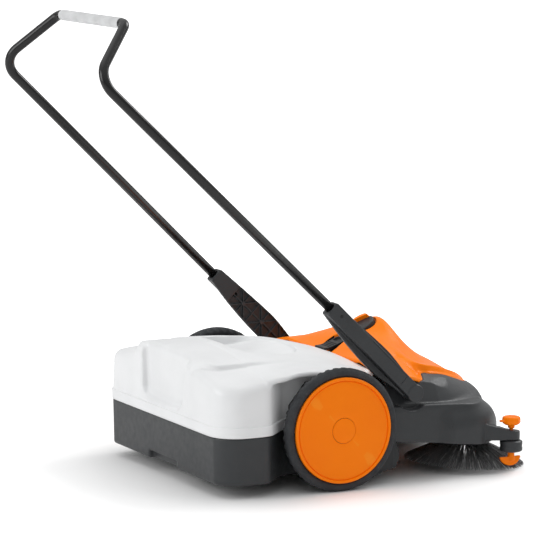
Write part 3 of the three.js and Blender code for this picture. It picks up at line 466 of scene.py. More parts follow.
def edge_worn(tree, colour, worn, amount):
    """The colour, a little paler where edges stand proud and get rubbed."""
    shape = add_node(tree, "NewGeometry").outputs["Pointiness"]
    rubbed = add_node(
        tree, "MapRange", Value=shape, From_Min=EDGE_FLAT, From_Max=EDGE_SHARP, To_Max=amount
    )
    mix = tree.nodes.new("ShaderNodeMix")
    mix.data_type = "RGBA"
    tree.links.new(rubbed.outputs["Result"], mix.inputs["Factor"])
    tree.links.new(colour, mix.inputs["A"])
    mix.inputs["B"].default_value = (*worn, 1)
    return mix.outputs["Result"]


def srgb(red, green, blue):
    """A screen colour, 0 to 255, as linear light."""
    return tuple(
        c / 255 / 12.92 if c / 255 <= 0.04045 else ((c / 255 + 0.055) / 1.055) ** 2.4
        for c in (red, green, blue)
    )


def finish(name, colour, roughness, tone, gloss=None, bump=None, worn=None, **plain):
    """A material from screen colours and noise; each noise is what noise() takes after the tree.

    tone is (noise, colour, colour), gloss (noise, low, high), bump (noise, strength, metres) and
    worn (colour, amount).
    """
    material, tree, surface = shader(name, srgb(*colour), roughness, **plain)
    wave, one, two = tone
    mixed = blended(tree, noise(tree, *wave), srgb(*one), srgb(*two))
    if worn:
        mixed = edge_worn(tree, mixed, srgb(*worn[0]), worn[1])
    tree.links.new(mixed, surface.inputs["Base Color"])
    if gloss:
        wave, low, high = gloss
        tree.links.new(spread(tree, noise(tree, *wave), low, high), surface.inputs["Roughness"])
    if bump:
        wave, strength, depth = bump
        ripple = add_node(tree, "Bump", Height=noise(tree, *wave), Strength=strength, Distance=depth)
        tree.links.new(ripple.outputs["Normal"], surface.inputs["Normal"])
    return material


def plastic(colour, shade, worn, roughness, grain, depth, specular=0.5):
    """Moulded plastic: slight clouding of the colour, a fine mould grain and uneven gloss."""
    return dict(
        colour=colour, roughness=roughness, tone=((9, 3), shade, colour), worn=(worn, 0.5),
        gloss=((60, 5), roughness - 0.05, roughness + 0.05), bump=((grain, 2), 0.35, depth),
        Specular_IOR_Level=specular,
    )


LOOKS = {
    "orange_plastic": plastic((255, 129, 0), (252, 123, 0), (255, 150, 36), 0.36, 900, 0.0001, 0.12),
    "white_plastic": plastic((229, 230, 231), (223, 224, 225), (238, 238, 238), 0.38, 1100, 0.00008),
    "dark_plastic": plastic((50, 52, 54), (45, 47, 49), (74, 76, 78), 0.44, 1600, 0.00012, 0.4),
    "black_plastic": plastic((20, 21, 23), (17, 18, 20), (38, 39, 41), 0.4, 1400, 0.0001, 0.4),
    "tyre_rubber": dict(
        colour=(46, 48, 51), roughness=0.72, tone=((40, 6), (40, 42, 45), (52, 54, 57)),
        worn=((84, 86, 88), 0.6), gloss=((150, 4), 0.62, 0.82), bump=((700, 6), 0.5, 0.0003),
        Specular_IOR_Level=0.4,
    ),
    "belt_rubber": dict(
        colour=(34, 34, 35), roughness=0.75, tone=((90, 4), (28, 28, 29), (40, 40, 41)),
        bump=((1200, 3), 0.4, 0.0002),
    ),
    # powder coat: dark, glossy, with a fine orange-peel ripple
    "black_paint": dict(
        colour=(16, 16, 17), roughness=0.22, tone=((20, 3), (13, 13, 14), (20, 20, 21)),
        gloss=((80, 4), 0.16, 0.26), bump=((500, 2), 0.12, 0.00015), Specular_IOR_Level=0.42,
    ),
    "pale_grip": dict(
        colour=(226, 227, 228), roughness=0.5, tone=((25, 5), (190, 191, 192), (208, 209, 210)),
        bump=((1500, 3), 0.3, 0.0001),
    ),
    "steel": dict(
        colour=(196, 198, 200), roughness=0.3, tone=((120, 6), (176, 179, 182), (208, 210, 212)),
        gloss=((300, 5, (1, 8, 1)), 0.22, 0.42), Metallic=1.0,
    ),
    # stiff black bristle, painted paler in streaks: painted highlights standing for light caught by the strands
    "bristle": dict(
        colour=(26, 26, 28), roughness=0.38, tone=((450, 2), (52, 52, 54), (150, 150, 152)),
        gloss=((600, 2), 0.28, 0.5), Specular_IOR_Level=0.6,
    ),
}
FINISHES = {name: finish(name, **look) for name, look in LOOKS.items()}

# ---- container

(BODY_REAR, _, SEAM_Z), (_, BODY_HALF, _) = design_box("container_lid")
BODY_CORNER = 76
STEP_LINE = 168  # x + y of the slanted wall behind each wheel
NECK_HALF = 287
NECK_FRONT = 60
LIP_TOP = 186
LIP_PROUD = 3
TRAY_FLOOR = design_box("container_tray")[0].z
CONTAINER_WALL = 3
LID_DRAFT, TRAY_DRAFT = 0.045, 0.02
HOLD_HALF, HOLD_DEPTH, HOLD_FLOOR = 121, 27, 196  # the hand hold in the rear face
NOTCH_HALF, NOTCH_DEPTH, NOTCH_HEIGHT = 86, 24, 21  # the notch under the tray's rear
BONNET_DEPTH = 14  # height of the lid's front part, which reaches over the wheels
LID_GRID, TRAY_GRID = 4.5, 5


def container_plan(x, y, inset):
    """Distance outside the container's plan, set in from its lip."""
    reach = np.abs(y)
    back = overlap(BODY_REAR + inset - x, reach - (BODY_HALF - inset), BODY_CORNER - inset)
    step = union((x + reach - STEP_LINE) / math.sqrt(2) + inset, reach - (NECK_HALF - inset), 14)
    return overlap(back, step, 12)


STEP_REAR = -198
# Along the machine: heights of the lid's middle, of the crease beside it and of its edge, and how
# far the raised middle steps down.
LID_MIDDLE = [
    (-345, 332), (-300, 342), (-250, 346), (-190, 347), (-130, 345), (-84, 342), (-30, 338), (30, 331),
    (90, 316), (145, 301),
]
LID_CREASE = [(-345, 317), (-290, 325), (-84, 321), (-30, 316), (30, 311), (90, 301), (145, 289)]
LID_EDGE = [
    (-345, 278), (-290, 286), (-200, 297), (-150, 303), (-84, 305), (-30, 302), (0, 299), (60, 298),
    (110, 291), (145, 280),
]
LID_STEP = [(-345, 13), (-290, 13), (-200, 9.5), (-110, 4), (-30, 0.5), (0, 0), (145, 0)]
CREASE_Y = 228
EDGE_Y = 345
SCOOP_MIDDLE = -80
SCOOP_HALF = (95, 160)
SCOOP_DEPTH = [(-175, 24), (-60, 22), (15, 2)]


def lid_top(x, y):
    """Height of the lid's crowned top, its raised middle stepped down to the sides."""
    reach = np.abs(y)
    middle = between(LID_MIDDLE, x)
    crease = between(LID_CREASE, x)
    edge = between(LID_EDGE, x)
    crown = middle - (middle - crease) * np.minimum(reach / CREASE_Y, 1) ** 2
    outside = np.maximum(reach - CREASE_Y, 0) / (EDGE_Y - CREASE_Y)
    corner = CREASE_Y - 55 * (1 - ease(x, BODY_REAR + 10, BODY_REAR + 80)) ** 2
    drop = between(LID_STEP, x) * ease(reach, corner - 7, corner + 3)
    return crown - drop - (crease - edge - between(LID_STEP, x)) * outside**1.15


def bonnet_plan(x, y):
    """Distance outside the part of the lid that reaches forward over the wheels' housings."""
    reach = np.abs(y)
    side = between([(-198, 343), (-140, 338), (-90, 321), (60, 320), (110, 318)], x)
    front = between([(0, 140), (150, 137), (280, 118), (318, 104), (345, 96)], reach)
    return overlap(reach - side, x - front, 10)


def scoop_field(x, y, z):
    """Hand scoop: steep behind and at the sides, running out level towards the front."""
    half_x, half_y = SCOOP_HALF
    share = (np.abs((x - SCOOP_MIDDLE) / half_x) ** 3 + np.abs(y / half_y) ** 3) ** (1 / 3)
    floor = lid_top(x, y) - between(SCOOP_DEPTH, x)
    return overlap((share - 1) * half_x, floor - z, 4)


def lid_field(x, y, z):
    """The lid: crowned body on a proud lip, bonnet in front, hand hold in the rear, hand scoop."""
    top = (z - lid_top(x, y)) * 0.97
    lean = np.maximum(z - LIP_TOP, 0) * LID_DRAFT
    body = overlap(container_plan(x, y, LIP_PROUD + lean), top, 20)
    lip = overlap(container_plan(x, y, 0), z - LIP_TOP, 1.6)
    body = union(body, lip, 1)
    under = lid_top(x, y) - BONNET_DEPTH - z
    bonnet = overlap(overlap(bonnet_plan(x, y), top, 9), overlap(under, STEP_REAR - x, 0), 3)
    body = union(body, bonnet, 6)
    hold = overlap(np.abs(y) - HOLD_HALF - (z - 200) * 0.12, x - (BODY_REAR + HOLD_DEPTH), 10)
    hold = overlap(hold, HOLD_FLOOR + 8 * (y / 120) ** 2 - z, 22)
    body = without(body, hold, 9)
    return without(body, scoop_field(x, y, z), 1)


def container_lid():
    def keep(x, y, z):
        under = z < lid_top(x, y) - BONNET_DEPTH - 1
        mouth = (x > NECK_FRONT - 3) & under & (np.abs(y) < NECK_HALF - 4)
        return (z > SEAM_Z) & ~mouth

    lid = moulded(
        "container_lid_shell",
        lid_field,
        graded(BODY_REAR - 6, 146, LID_GRID),
        graded(-BODY_HALF - 6, BODY_HALF + 6, LID_GRID),
        graded(SEAM_Z - 3, 362, LID_GRID, (LIP_TOP, 3, 1.0)),
        keep,
        wall=CONTAINER_WALL,
    )
    show(lid, "white_plastic", "container", "container_lid")


def tray_field(x, y, z):
    """The tray under the lid, with a notch in the middle of its rear."""
    plan = container_plan(x, y, LIP_PROUD)
    plan = overlap(plan, BODY_REAR + LIP_PROUD + 2.5 - x, 0)
    draft = (SEAM_Z - z) * TRAY_DRAFT
    body = overlap(plan + draft, TRAY_FLOOR - z, 7)
    body = overlap(body, x - NECK_FRONT, 4)
    under = overlap(x - BODY_REAR - NOTCH_DEPTH, z - TRAY_FLOOR - NOTCH_HEIGHT, 4)
    notch = overlap(np.abs(y) - NOTCH_HALF, under, 8)
    return without(body, notch, 4)


def container_tray():
    def keep(x, y, z):
        mouth = (x > NECK_FRONT - 2) & (z > 72) & (np.abs(y) < NECK_HALF - 6)
        return (z < SEAM_Z - 0.6) & ~mouth

    tray = moulded(
        "container_tray_shell",
        tray_field,
        graded(BODY_REAR - 4, NECK_FRONT + 5, TRAY_GRID),
        graded(-BODY_HALF - 4, BODY_HALF + 4, TRAY_GRID),
        graded(TRAY_FLOOR - 4, SEAM_Z + 3, TRAY_GRID),
        keep,
        wall=CONTAINER_WALL,
    )
    show(tray, "dark_plastic", "container", "container_tray")


container_lid()
container_tray()

# ---- wheels

(_, TYRE_LOW, _), (_, TYRE_HIGH, _) = design_box("tyre_left")
DISC_FACE = design_box("wheel_disc_left")[1].y
DISC_RADIUS = 138
CAP_RADIUS = 32.5
LUGS = 44
LUG_DEPTH = 2.0
WHEEL_CENTRE = (0, 0, WHEEL_RADIUS)
AXLE_BORE = 8.4
SPOKE_HALF_TURN = math.pi / 12


def lugs(radius, along, angle):
    """Shallow blocks round the tread's inner shoulder."""
    middle = (TYRE_LOW + TYRE_HIGH) / 2
    phase = np.mod(angle * LUGS / (2 * math.pi), 1)
    gap = ease(np.abs(phase - 0.5), 0.16, 0.3)
    shoulder = ease(radius, WHEEL_RADIUS - 12, WHEEL_RADIUS - 4) * ease(middle - along, -3, 3)
    return radius - LUG_DEPTH * gap * shoulder, along + 1.6 * gap * shoulder


def tyre(side):
    """Tyre with a rounded tread, from the disc's edge out."""
    low, high = TYRE_LOW, TYRE_HIGH
    corners = [
        (DISC_RADIUS, low + 3, 1), (141, low + 1.2, 2), (148, low, 3), (153, low + 0.6, 3),
        (157, low + 4.5, 3), (WHEEL_RADIUS - 0.6, low + 9, 3), (WHEEL_RADIUS, low + 14, 0),
        (WHEEL_RADIUS, low + 20, 0),
        (WHEEL_RADIUS, high - 10, 3), (158.4, high - 5, 3), (153, high - 0.6, 3), (148, high, 3),
        (142, high - 0.6, 2), (140, high - 2.4, 1), (DISC_RADIUS, high - 3, 1),
    ]
    return turned(f"tyre_{side}_rubber", corners, WHEEL_CENTRE, 396, wave=lugs, steps=3)


def faced(corners):
    """Corners given as (radius, depth under the disc's face, rounding), ready for turned()."""
    return [(radius, DISC_FACE - depth, rounding) for radius, depth, rounding in corners]


def wheel_disc(side):
    """Dished cover with a groove inside its rim, open in the middle for the hub cap."""
    out = DISC_RADIUS
    corners = [
        (CAP_RADIUS + 0.9, 5, 0), (CAP_RADIUS + 0.9, 1.1, 0.6), (60, 1.2, 12), (90, 1.9, 12),
        (110, 2.6, 10), (out - 11.4, 3.2, 1.2), (out - 10.6, 5.4, 0.8), (out - 9, 5.4, 0.8),
        (out - 8, 1.1, 1.1), (out - 1.8, 0.7, 1.2), (out - 0.6, 3, 0.8), (out - 0.6, 13, 0),
        (out - 4, 13, 0), (out - 12, 7, 0),
    ]
    return turned(f"wheel_disc_{side}_cover", faced(corners), WHEEL_CENTRE, 160)


def hub_cap(side):
    corners = [
        (0, 4, 0), (CAP_RADIUS - 0.8, 4, 0), (CAP_RADIUS, 2, 0.4), (CAP_RADIUS, 0.7, 0.5),
        (CAP_RADIUS - 2, 0.2, 1), (0, -0.9, 0),
    ]
    return turned(f"hub_cap_{side}_cover", faced(corners), WHEEL_CENTRE, closed=False)


def wheel_rim(side):
    """Spoked inner wheel: hub, ribs and the band under the tyre."""

    def field(x, y, z):
        z = z - WHEEL_RADIUS
        radius = np.hypot(x, z)
        band = overlap(slab(radius, DISC_RADIUS - 7, DISC_RADIUS - 1), slab(y, 349, 374), 1)
        web = overlap(radius - DISC_RADIUS + 4, slab(y, 355, 361), 1)
        hub = overlap(slab(radius, AXLE_BORE, 20), slab(y, 302, 381), 1.5)
        turn = np.arctan2(z, x) + SPOKE_HALF_TURN
        off_spoke = np.abs(radius * np.sin(np.mod(turn, 2 * SPOKE_HALF_TURN) - SPOKE_HALF_TURN))
        ribs = overlap(overlap(off_spoke - 1.8, slab(y, 350, 360), 0.5), radius - 134)
        body = union(union(band, web, 3), union(hub, ribs, 2), 3)
        return overlap(body, AXLE_BORE - radius)

    x, y, z = graded(-140, 140, 3.2), graded(300, 383, 2.4), graded(20, 300, 3.2)
    return moulded(f"wheel_rim_{side}_web", field, x, y, z)


WHEEL_PIECES = [
    (tyre, "tyre_rubber", "tyre"), (wheel_disc, "orange_plastic", "wheel_disc"),
    (hub_cap, "orange_plastic", "hub_cap"), (wheel_rim, "dark_plastic", "wheel_rim"),
]
for side in ("left", "right"):
    for make, slot, name in WHEEL_PIECES:
        show(make(side), slot, f"wheel_{side}", f"{name}_{side}", side)

# ---- handle

PIVOT = joint_place("handle_fold")
ARM_ANGLE = math.radians(135.6)
ARM_LENGTH = 343
(_, ARM_INNER, _), (_, ARM_OUTER, _) = design_box("handle_arm_left")
ARM_WEB = ARM_INNER + 12
TUBE_RADIUS = 12.5
TUBE_POINTS = [(46, 343, 411.7), (-647, 312, 1081), (-525, 209, 1205)]
BEND_RADII = (55, 30)
SCREW = (9, 451)
SOCKET_START = 252  # along the arm, where the tube's socket begins
SOCKET_RADIUS = 12.8
BOLT_RADIUS = 9.3
BOSS_RADIUS = 24
STAR_CENTRES = (65, 144, 223)  # along the arm, of the stars of ribs on its inner face
GRIP_HALF = design_box("grip_sleeve")[1].y


def arm_frame(s, w, y):
    """From along-the-arm and across-the-arm places to design X, Y and Z."""
    x = PIVOT.x + s * math.cos(ARM_ANGLE) + w * math.sin(ARM_ANGLE)
    z = PIVOT.z + s * math.sin(ARM_ANGLE) - w * math.cos(ARM_ANGLE)
    return x, y, z


def into_arm(x, z):
    """Along and across the arm for a design place."""
    dx, dz = x - PIVOT.x, z - PIVOT.z
    along = dx * math.cos(ARM_ANGLE) + dz * math.sin(ARM_ANGLE)
    across = dx * math.sin(ARM_ANGLE) - dz * math.cos(ARM_ANGLE)
    return along, across


def arm_field(s, w, y):
    """The arm about its pivot: outer beam, wider inner flank with starred ribs, tube socket."""
    around = np.hypot(s, w)
    beam = overlap(overlap(np.abs(w) - 20, s - ARM_LENGTH, 5), -s, 0)
    beam = np.minimum(beam, around - BOSS_RADIUS)
    beam = overlap(beam, slab(y, ARM_WEB - 2, ARM_OUTER - 1), 3.6)
    boss = overlap(around - BOSS_RADIUS + 1.5, slab(y, ARM_WEB, ARM_OUTER), 1.2)
    rear = between([(-10, 24), (40, 25), (100, 35), (128, 38), (239, 33), (ARM_LENGTH, 20)], s)
    front = between([(-10, 24), (30, 24), (110, 31), (128, 32), (239, 27), (ARM_LENGTH, 20)], s)
    flank = np.maximum(w - front, -w - rear)
    flank = overlap(flank, s - ARM_LENGTH, 5)
    flank = np.minimum(overlap(flank, -s, 0), np.maximum(around - 25, s))
    plate = overlap(flank, slab(y, ARM_INNER, ARM_WEB), 1.4)
    pocket = overlap(flank + 3.4, slab(s, 44, 264), 3)
    pocket = overlap(pocket, slab(y, ARM_INNER - 9, ARM_WEB - 3), 0.8)
    plate = without(plate, pocket, 0.8)
    ribs = np.minimum(np.abs(s - 104.5), np.abs(s - 183.5))
    for centre in STAR_CENTRES:
        for turn in (0, 45, 90, 135):
            c, t = math.cos(math.radians(turn)), math.sin(math.radians(turn))
            ribs = np.minimum(ribs, np.abs((s - centre) * t - (w + 3) * c))
    ribs = overlap(ribs - 1.3, slab(y, ARM_INNER + 1, ARM_WEB - 1), 0.5)
    ribs = overlap(ribs, np.maximum(flank + 2, slab(s, 42, 266)))
    arm = union(union(beam, plate, 2.5), union(boss, ribs, 0.8), 0.8)
    groove_along = overlap(np.abs(w - 15.8) - 0.7, slab(s, 52, 196))
    groove_across = overlap(np.abs(s - 52) - 0.7, slab(w, -11.5, 15.8))
    groove = overlap(np.minimum(groove_along, groove_across), ARM_OUTER - 2.4 - y)
    arm = without(arm, groove, 0.3)
    off_line = np.hypot(w - TUBE_LINE[0] - TUBE_LINE[1] * s, y - TUBE_LINE[2] - TUBE_LINE[3] * s)
    socket = overlap(off_line - SOCKET_RADIUS, SOCKET_START - s)
    arm = without(arm, socket, 0.8)
    screw_s, screw_w = into_arm(*SCREW)
    screw = overlap(np.hypot(s - screw_s, w - screw_w) - 4, ARM_OUTER - 6 - y)
    arm = without(arm, screw, 0.5)
    return without(arm, overlap(around - BOLT_RADIUS, y - ARM_OUTER + 8), 0.3)


def tube_line():
    """The tube's line seen from the arm: across and y, each as a start and a slope along."""
    (x0, y0, z0), (x1, y1, z1) = TUBE_POINTS[:2]
    s0, w0 = into_arm(x0, z0)
    s1, w1 = into_arm(x1, z1)
    w_slope, y_slope = (w1 - w0) / (s1 - s0), (y1 - y0) / (s1 - s0)
    return w0 - s0 * w_slope, w_slope, y0 - s0 * y_slope, y_slope


TUBE_LINE = tube_line()


def handle_arm(side):
    s = graded(-44, ARM_LENGTH + 3, 2.2, (52, 2, 0.7), (ARM_LENGTH - 4, 6, 1.4))
    w = graded(-44, 36, 1.9, (15.8, 2, 0.7))
    y = graded(ARM_INNER - 2, ARM_OUTER + 2, 1.9, (ARM_OUTER - 1.5, 1.6, 0.8))
    points, faces = net(arm_field, s, w, y)
    placed = np.stack(arm_frame(points[:, 0], points[:, 1], points[:, 2]), 1)
    return make_object(f"handle_arm_{side}_moulding", placed, faces[:, ::-1])


def bent_line(corners, radii, steps=12):
    """Points along straights joined by arcs."""
    corners = [Vector(c) for c in corners]
    made = [corners[0]]
    for i, radius in zip(range(1, len(corners) - 1), radii):
        back = (corners[i - 1] - corners[i]).normalized()
        on = (corners[i + 1] - corners[i]).normalized()
        half = back.angle(on) / 2
        centre = corners[i] + (back + on).normalized() * (radius / math.sin(half))
        start = corners[i] + back * (radius / math.tan(half)) - centre
        axis = -back.cross(on).normalized()
        for k in range(steps + 1):
            turn = Matrix.Rotation((math.pi - 2 * half) * k / steps, 4, axis)
            made.append(centre + turn @ start)
    made.append(corners[-1])
    return made


def handle_tube():
    flip = [(x, -y, z) for x, y, z in reversed(TUBE_POINTS)]
    path = bent_line([*TUBE_POINTS, *flip], [*BEND_RADII, *reversed(BEND_RADII)])
    tube = swept("handle_tube_bent", path, circle(TUBE_RADIUS, 40))
    show(tube, "black_paint", "handle", "handle_tube")


def grip_sleeve():
    """Soft sleeve with fine ribs along it and a smooth band at each end."""

    def ribs(radius, along, angle):
        middle = 1 - ease(np.abs(along), GRIP_HALF - 12, GRIP_HALF - 8)
        return radius - 0.45 * middle * (0.5 + 0.5 * np.cos(angle * 40)), along

    corners = [
        (TUBE_RADIUS + 0.1, -GRIP_HALF, 0), (13.6, -GRIP_HALF, 0.8), (14, -GRIP_HALF + 3, 1.5),
        (14, -GRIP_HALF + 8, 0), (14, -GRIP_HALF + 12, 0), (14, GRIP_HALF - 12, 0),
        (14, GRIP_HALF - 8, 0), (14, GRIP_HALF - 3, 1.5), (13.6, GRIP_HALF, 0.8),
        (TUBE_RADIUS + 0.1, GRIP_HALF, 0),
    ]
    x, _, z = TUBE_POINTS[-1]
    sleeve = turned("grip_sleeve_soft", corners, (x, 0, z), 240, wave=ribs)
    show(sleeve, "pale_grip", "handle", "grip_sleeve")


for side in ("left", "right"):
    show(handle_arm(side), "dark_plastic", "handle", f"handle_arm_{side}", side)
handle_tube()
grip_sleeve()

# ---- hood and housing

(HOOD_REAR, _, _), (HOOD_TIP, _, _) = design_box("hood")
HOOD_FRONT = HOOD_TIP + 3
HOOD_SKIN = 2.5
HOOD_GRID = 3
DIAL = joint_place("dial_turn")
DIAL_TILT = math.radians(-33)
DIAL_RADIUS = 36
DIAL_GAP, CUP_DEPTH = 3.5, 10
GRIP_TURN = math.radians(55)

# Along the machine: height of the ridge; place and height of the crease beside it; place and
# height of the lower edge.
RIDGE_Z = [
    (143, 299), (160, 309), (180, 323), (205, 336), (232, 346), (262, 359), (284, 372), (298, 379),
    (311, 379.5), (320, 373), (330, 361), (349, 336), (380, 303), (411, 280), (443, 263), (480, 242),
    (505, 227), (524, 216), (550, 202),
]
CREASE_PLACE = [
    (143, 205), (255, 200), (280, 222), (307, 240), (358, 228), (415, 197), (460, 160), (524, 84),
    (550, 40),
]
CREASE_Z = [
    (143, 306), (200, 309), (255, 304), (280, 297), (307, 288), (358, 276), (415, 257), (460, 240),
    (524, 210), (550, 197),
]
EDGE = [
    (143, 314, 282), (236, 312, 270), (270, 296, 260), (284, 286, 255), (289, 282, 256),
    (298, 257, 266), (336, 246, 263), (378, 231, 254), (439, 195, 235), (500, 132, 213),
    (524, 102, 204), (550, 54, 194),
]
EDGE_PLACE, EDGE_Z = [row[:2] for row in EDGE], [row[::2] for row in EDGE]


def hood_top(x, y):
    """Height of the hood: a humped middle, a crease on each side, and a wall below the crease."""
    reach = np.abs(y)
    place = between(CREASE_PLACE, x)
    crease = between(CREASE_Z, x)
    ridge = between(RIDGE_Z, x)
    edge_place, edge = between(EDGE_PLACE, x), between(EDGE_Z, x)
    ridged = np.cos(np.clip(reach / place, 0, 0.84) * math.pi / 1.68) ** 2
    level = 1 - np.minimum(reach / place, 1) ** 3
    hump = level + (ridged - level) * ease(x, 232, 318)
    top = crease + (ridge - crease) * hump
    wall_share = ease(x, 250, 300)
    outside = np.clip((reach - place) / np.maximum(edge_place - place, 1), 0, 1.4)
    wall = 0.75 * ease(outside, 0, 0.55) + 0.25 * outside
    fall = wall_share * wall + (1 - wall_share) * outside**1.3
    return top - (crease - edge) * fall


def dial_frame(x, z):
    """Along and above for a place, about the tilted dial."""
    dx, dz = x - DIAL.x, z - DIAL.z
    c, s = math.cos(DIAL_TILT), math.sin(DIAL_TILT)
    return dx * c - dz * s, dx * s + dz * c


CHANNEL_FRONT = 226
CHANNEL_DEPTH = 24


def channel(x, y, grow):
    """The trough for the latch, from the lid's edge up into the hood."""
    half = 38 - 8 * ease(x, 190, CHANNEL_FRONT)
    return overlap(np.abs(y) - half - grow, x - CHANNEL_FRONT - grow, 12)


def hood_field(x, y, z):
    """The hood, with a round cup for the dial and the trough for the latch."""
    top = (z - hood_top(x, y)) * 0.9
    side = (np.abs(y) - between(EDGE_PLACE, x)) * 0.8
    body = overlap(top, side, 2.5)
    body = overlap(body, np.maximum(HOOD_REAR - x, x - HOOD_FRONT), 1.5)
    along, above = dial_frame(x, z)
    cup = overlap(np.hypot(along, y) - DIAL_RADIUS - DIAL_GAP, -CUP_DEPTH - above, 2)
    body = without(body, cup, 2)
    trough = overlap(channel(x, y, 0), hood_top(x, y) - CHANNEL_DEPTH - z, 3)
    return without(body, trough, 2.5)


def hood():
    def keep(x, y, z):
        along, _ = dial_frame(x, z)
        in_cup = np.hypot(along, y) < DIAL_RADIUS + DIAL_GAP + 1.5
        in_trough = (channel(x, y, 1.5) < 0) & (z > hood_top(x, y) - CHANNEL_DEPTH - 2)
        return (z > hood_top(x, y) - 9) | in_cup | in_trough

    piece = moulded(
        "hood_shell",
        hood_field,
        graded(HOOD_REAR - 4, HOOD_FRONT + 5, HOOD_GRID, (292, 8, 1.8)),
        graded(-322, 322, HOOD_GRID, (-269, 18, 2), (269, 18, 2)),
        graded(185, 388, HOOD_GRID),
        keep,
        wall=HOOD_SKIN,
    )
    show(piece, "orange_plastic", "chassis", "hood")


HOUSING_REAR = design_box("housing")[0].x
HOUSING_WALL = 3.2
HOUSING_GRID = 3.4
# Along the machine the ledge's height; by height the half width of the lower wall, its swell over
# the brush, and where its nose begins and ends.
LEDGE_Z = [(160, 200), (254, 199), (463, 187), (530, 181)]
SIDE_HALF = [(60, 344), (109, 345), (153, 345), (182, 345), (200, 343)]
SWELL = [(60, 16), (125, 17), (153, 12), (182, 1), (200, 0)]
NOSE_START = [(60, 380), (125, 380), (153, 385), (182, 385), (200, 380)]
NOSE_FRONT = [(60, 576), (100, 581), (125, 580), (153, 564), (168, 545), (182, 521), (200, 502)]
UPPER_NOSE = [(176, 400), (190, 360), (198, 340), (212, 335), (223, 330), (250, 320)]
UPPER_FRONT = [(176, 558), (190, 554), (198, 546), (212, 520), (223, 500), (250, 440)]
# Along the machine, of two facets beside the hood: where one height is, and how steeply it falls.
DECK_PLACE = 288
DECK_EDGE_Z = [
    (160, 262), (258, 256.5), (316, 248), (359, 243), (415, 231), (439, 222), (500, 197), (560, 182),
]
DECK_SLOPE = [(160, 0.5), (258, 0.48), (316, 0.4), (359, 0.3), (415, 0.12), (439, 0.1), (560, 0.08)]
WEDGE_PLACE = [(300, 297), (317, 295), (375, 292), (442, 287), (500, 262), (560, 200)]
WEDGE_Z = [(300, 250), (317, 243), (375, 220), (442, 191), (500, 180), (560, 168)]
WEDGE_SLOPE = [(300, 0.5), (375, 0.9), (442, 1.05), (500, 1.0), (560, 0.8)]
POCKET_RADIUS = 48
POCKET_INNER = 319
BELLY = [(160, 109), (430, 80), (620, 84)]
EDGE_SPINDLE = joint_place("edge_roller_spin")


def nose_plan(x, y, half, start, front):
    """Distance outside a plan with straight sides and a squarish round nose."""
    power = 2.2
    share = np.maximum(x - start, 0) / (front - start)
    return half * ((share**power + (np.abs(y) / half) ** power) ** (1 / power) - 1)


def bracket_field(x, y, z):
    """Shelf on the right that carries the edge roller, tapering to a round end."""
    tip = np.hypot(x - EDGE_SPINDLE.x, y - EDGE_SPINDLE.y) - 23
    share = np.clip((x - 400) / (EDGE_SPINDLE.x - 400), 0, 1)
    outer = -330 - 52 * share - y
    arm = overlap(overlap(outer, y + 300), overlap(x - EDGE_SPINDLE.x, 396 - x))
    plan = np.minimum(tip, arm)
    top = between([(390, 139), (430, 136), (470, 124), (EDGE_SPINDLE.x, 113), (560, 110)], x)
    return overlap(plan, slab(z, 88, top), 2.5)


def housing_field(x, y, z):
    """The housing: a lower wall that swells over the brush, a ledge, and a faceted deck above it.

    Cut away are a round pocket for each arm's pivot, the belly over the brushes, and the hood.
    """
    half = between(SIDE_HALF, z) + between(SWELL, z) * ease(x, 298, 346)
    lower = nose_plan(x, y, half, between(NOSE_START, z), between(NOSE_FRONT, z))
    ledge = between(LEDGE_Z, x)
    lower = overlap(lower, z - ledge, 5)
    wall = 318 - np.maximum(z - 198, -8) * 0.5 - np.clip(x - 320, 0, 150) * 0.27
    upper = nose_plan(x, y, wall, between(UPPER_NOSE, z), between(UPPER_FRONT, z))
    deck = z - between(DECK_EDGE_Z, x) - (DECK_PLACE - np.abs(y)) * between(DECK_SLOPE, x)
    wedge = z - between(WEDGE_Z, x) - (between(WEDGE_PLACE, x) - np.abs(y)) * between(WEDGE_SLOPE, x)
    upper = overlap(overlap(upper, wedge * 0.72, 1.5), deck * 0.93, 1.5)
    body = union(lower, upper, 4)
    body = union(body, bracket_field(x, y, z), 3)
    around = np.hypot(x - PIVOT.x, z - PIVOT.z) - POCKET_RADIUS
    body = without(body, overlap(around, POCKET_INNER - np.abs(y), 3), 2.5)
    belly = between(BELLY, x, smooth=False)
    body = overlap(body, belly - z, 2)
    clear = overlap(np.abs(y) - between(EDGE_PLACE, x) - 0.8, hood_top(x, y) - 4.5 - z)
    body = without(body, clear, 0.8)
    return overlap(body, HOUSING_REAR - x, 2)


def housing():
    def keep(x, y, z):
        top_hidden = (z > hood_top(x, y) - 8) & (np.abs(y) < between(EDGE_PLACE, x) - 14)
        belly = z < between(BELLY, x, smooth=False) + 0.8
        bracket = (y < -300) & (x > 396)
        rear = (x < HOUSING_REAR + 1) & (np.abs(y) < 338)
        return ~top_hidden & ~(belly & ~bracket) & ~rear

    piece = moulded(
        "housing_shell",
        housing_field,
        graded(HOUSING_REAR - 3, 592, HOUSING_GRID),
        graded(-390, 372, HOUSING_GRID, (POCKET_INNER, 2, 2), (-POCKET_INNER, 2, 2)),
        graded(72, 296, HOUSING_GRID, (193, 8, 2.0)),
        keep,
        wall=HOUSING_WALL,
    )
    show(piece, "dark_plastic", "chassis", "housing")


hood()
housing()

# ---- dial and latch


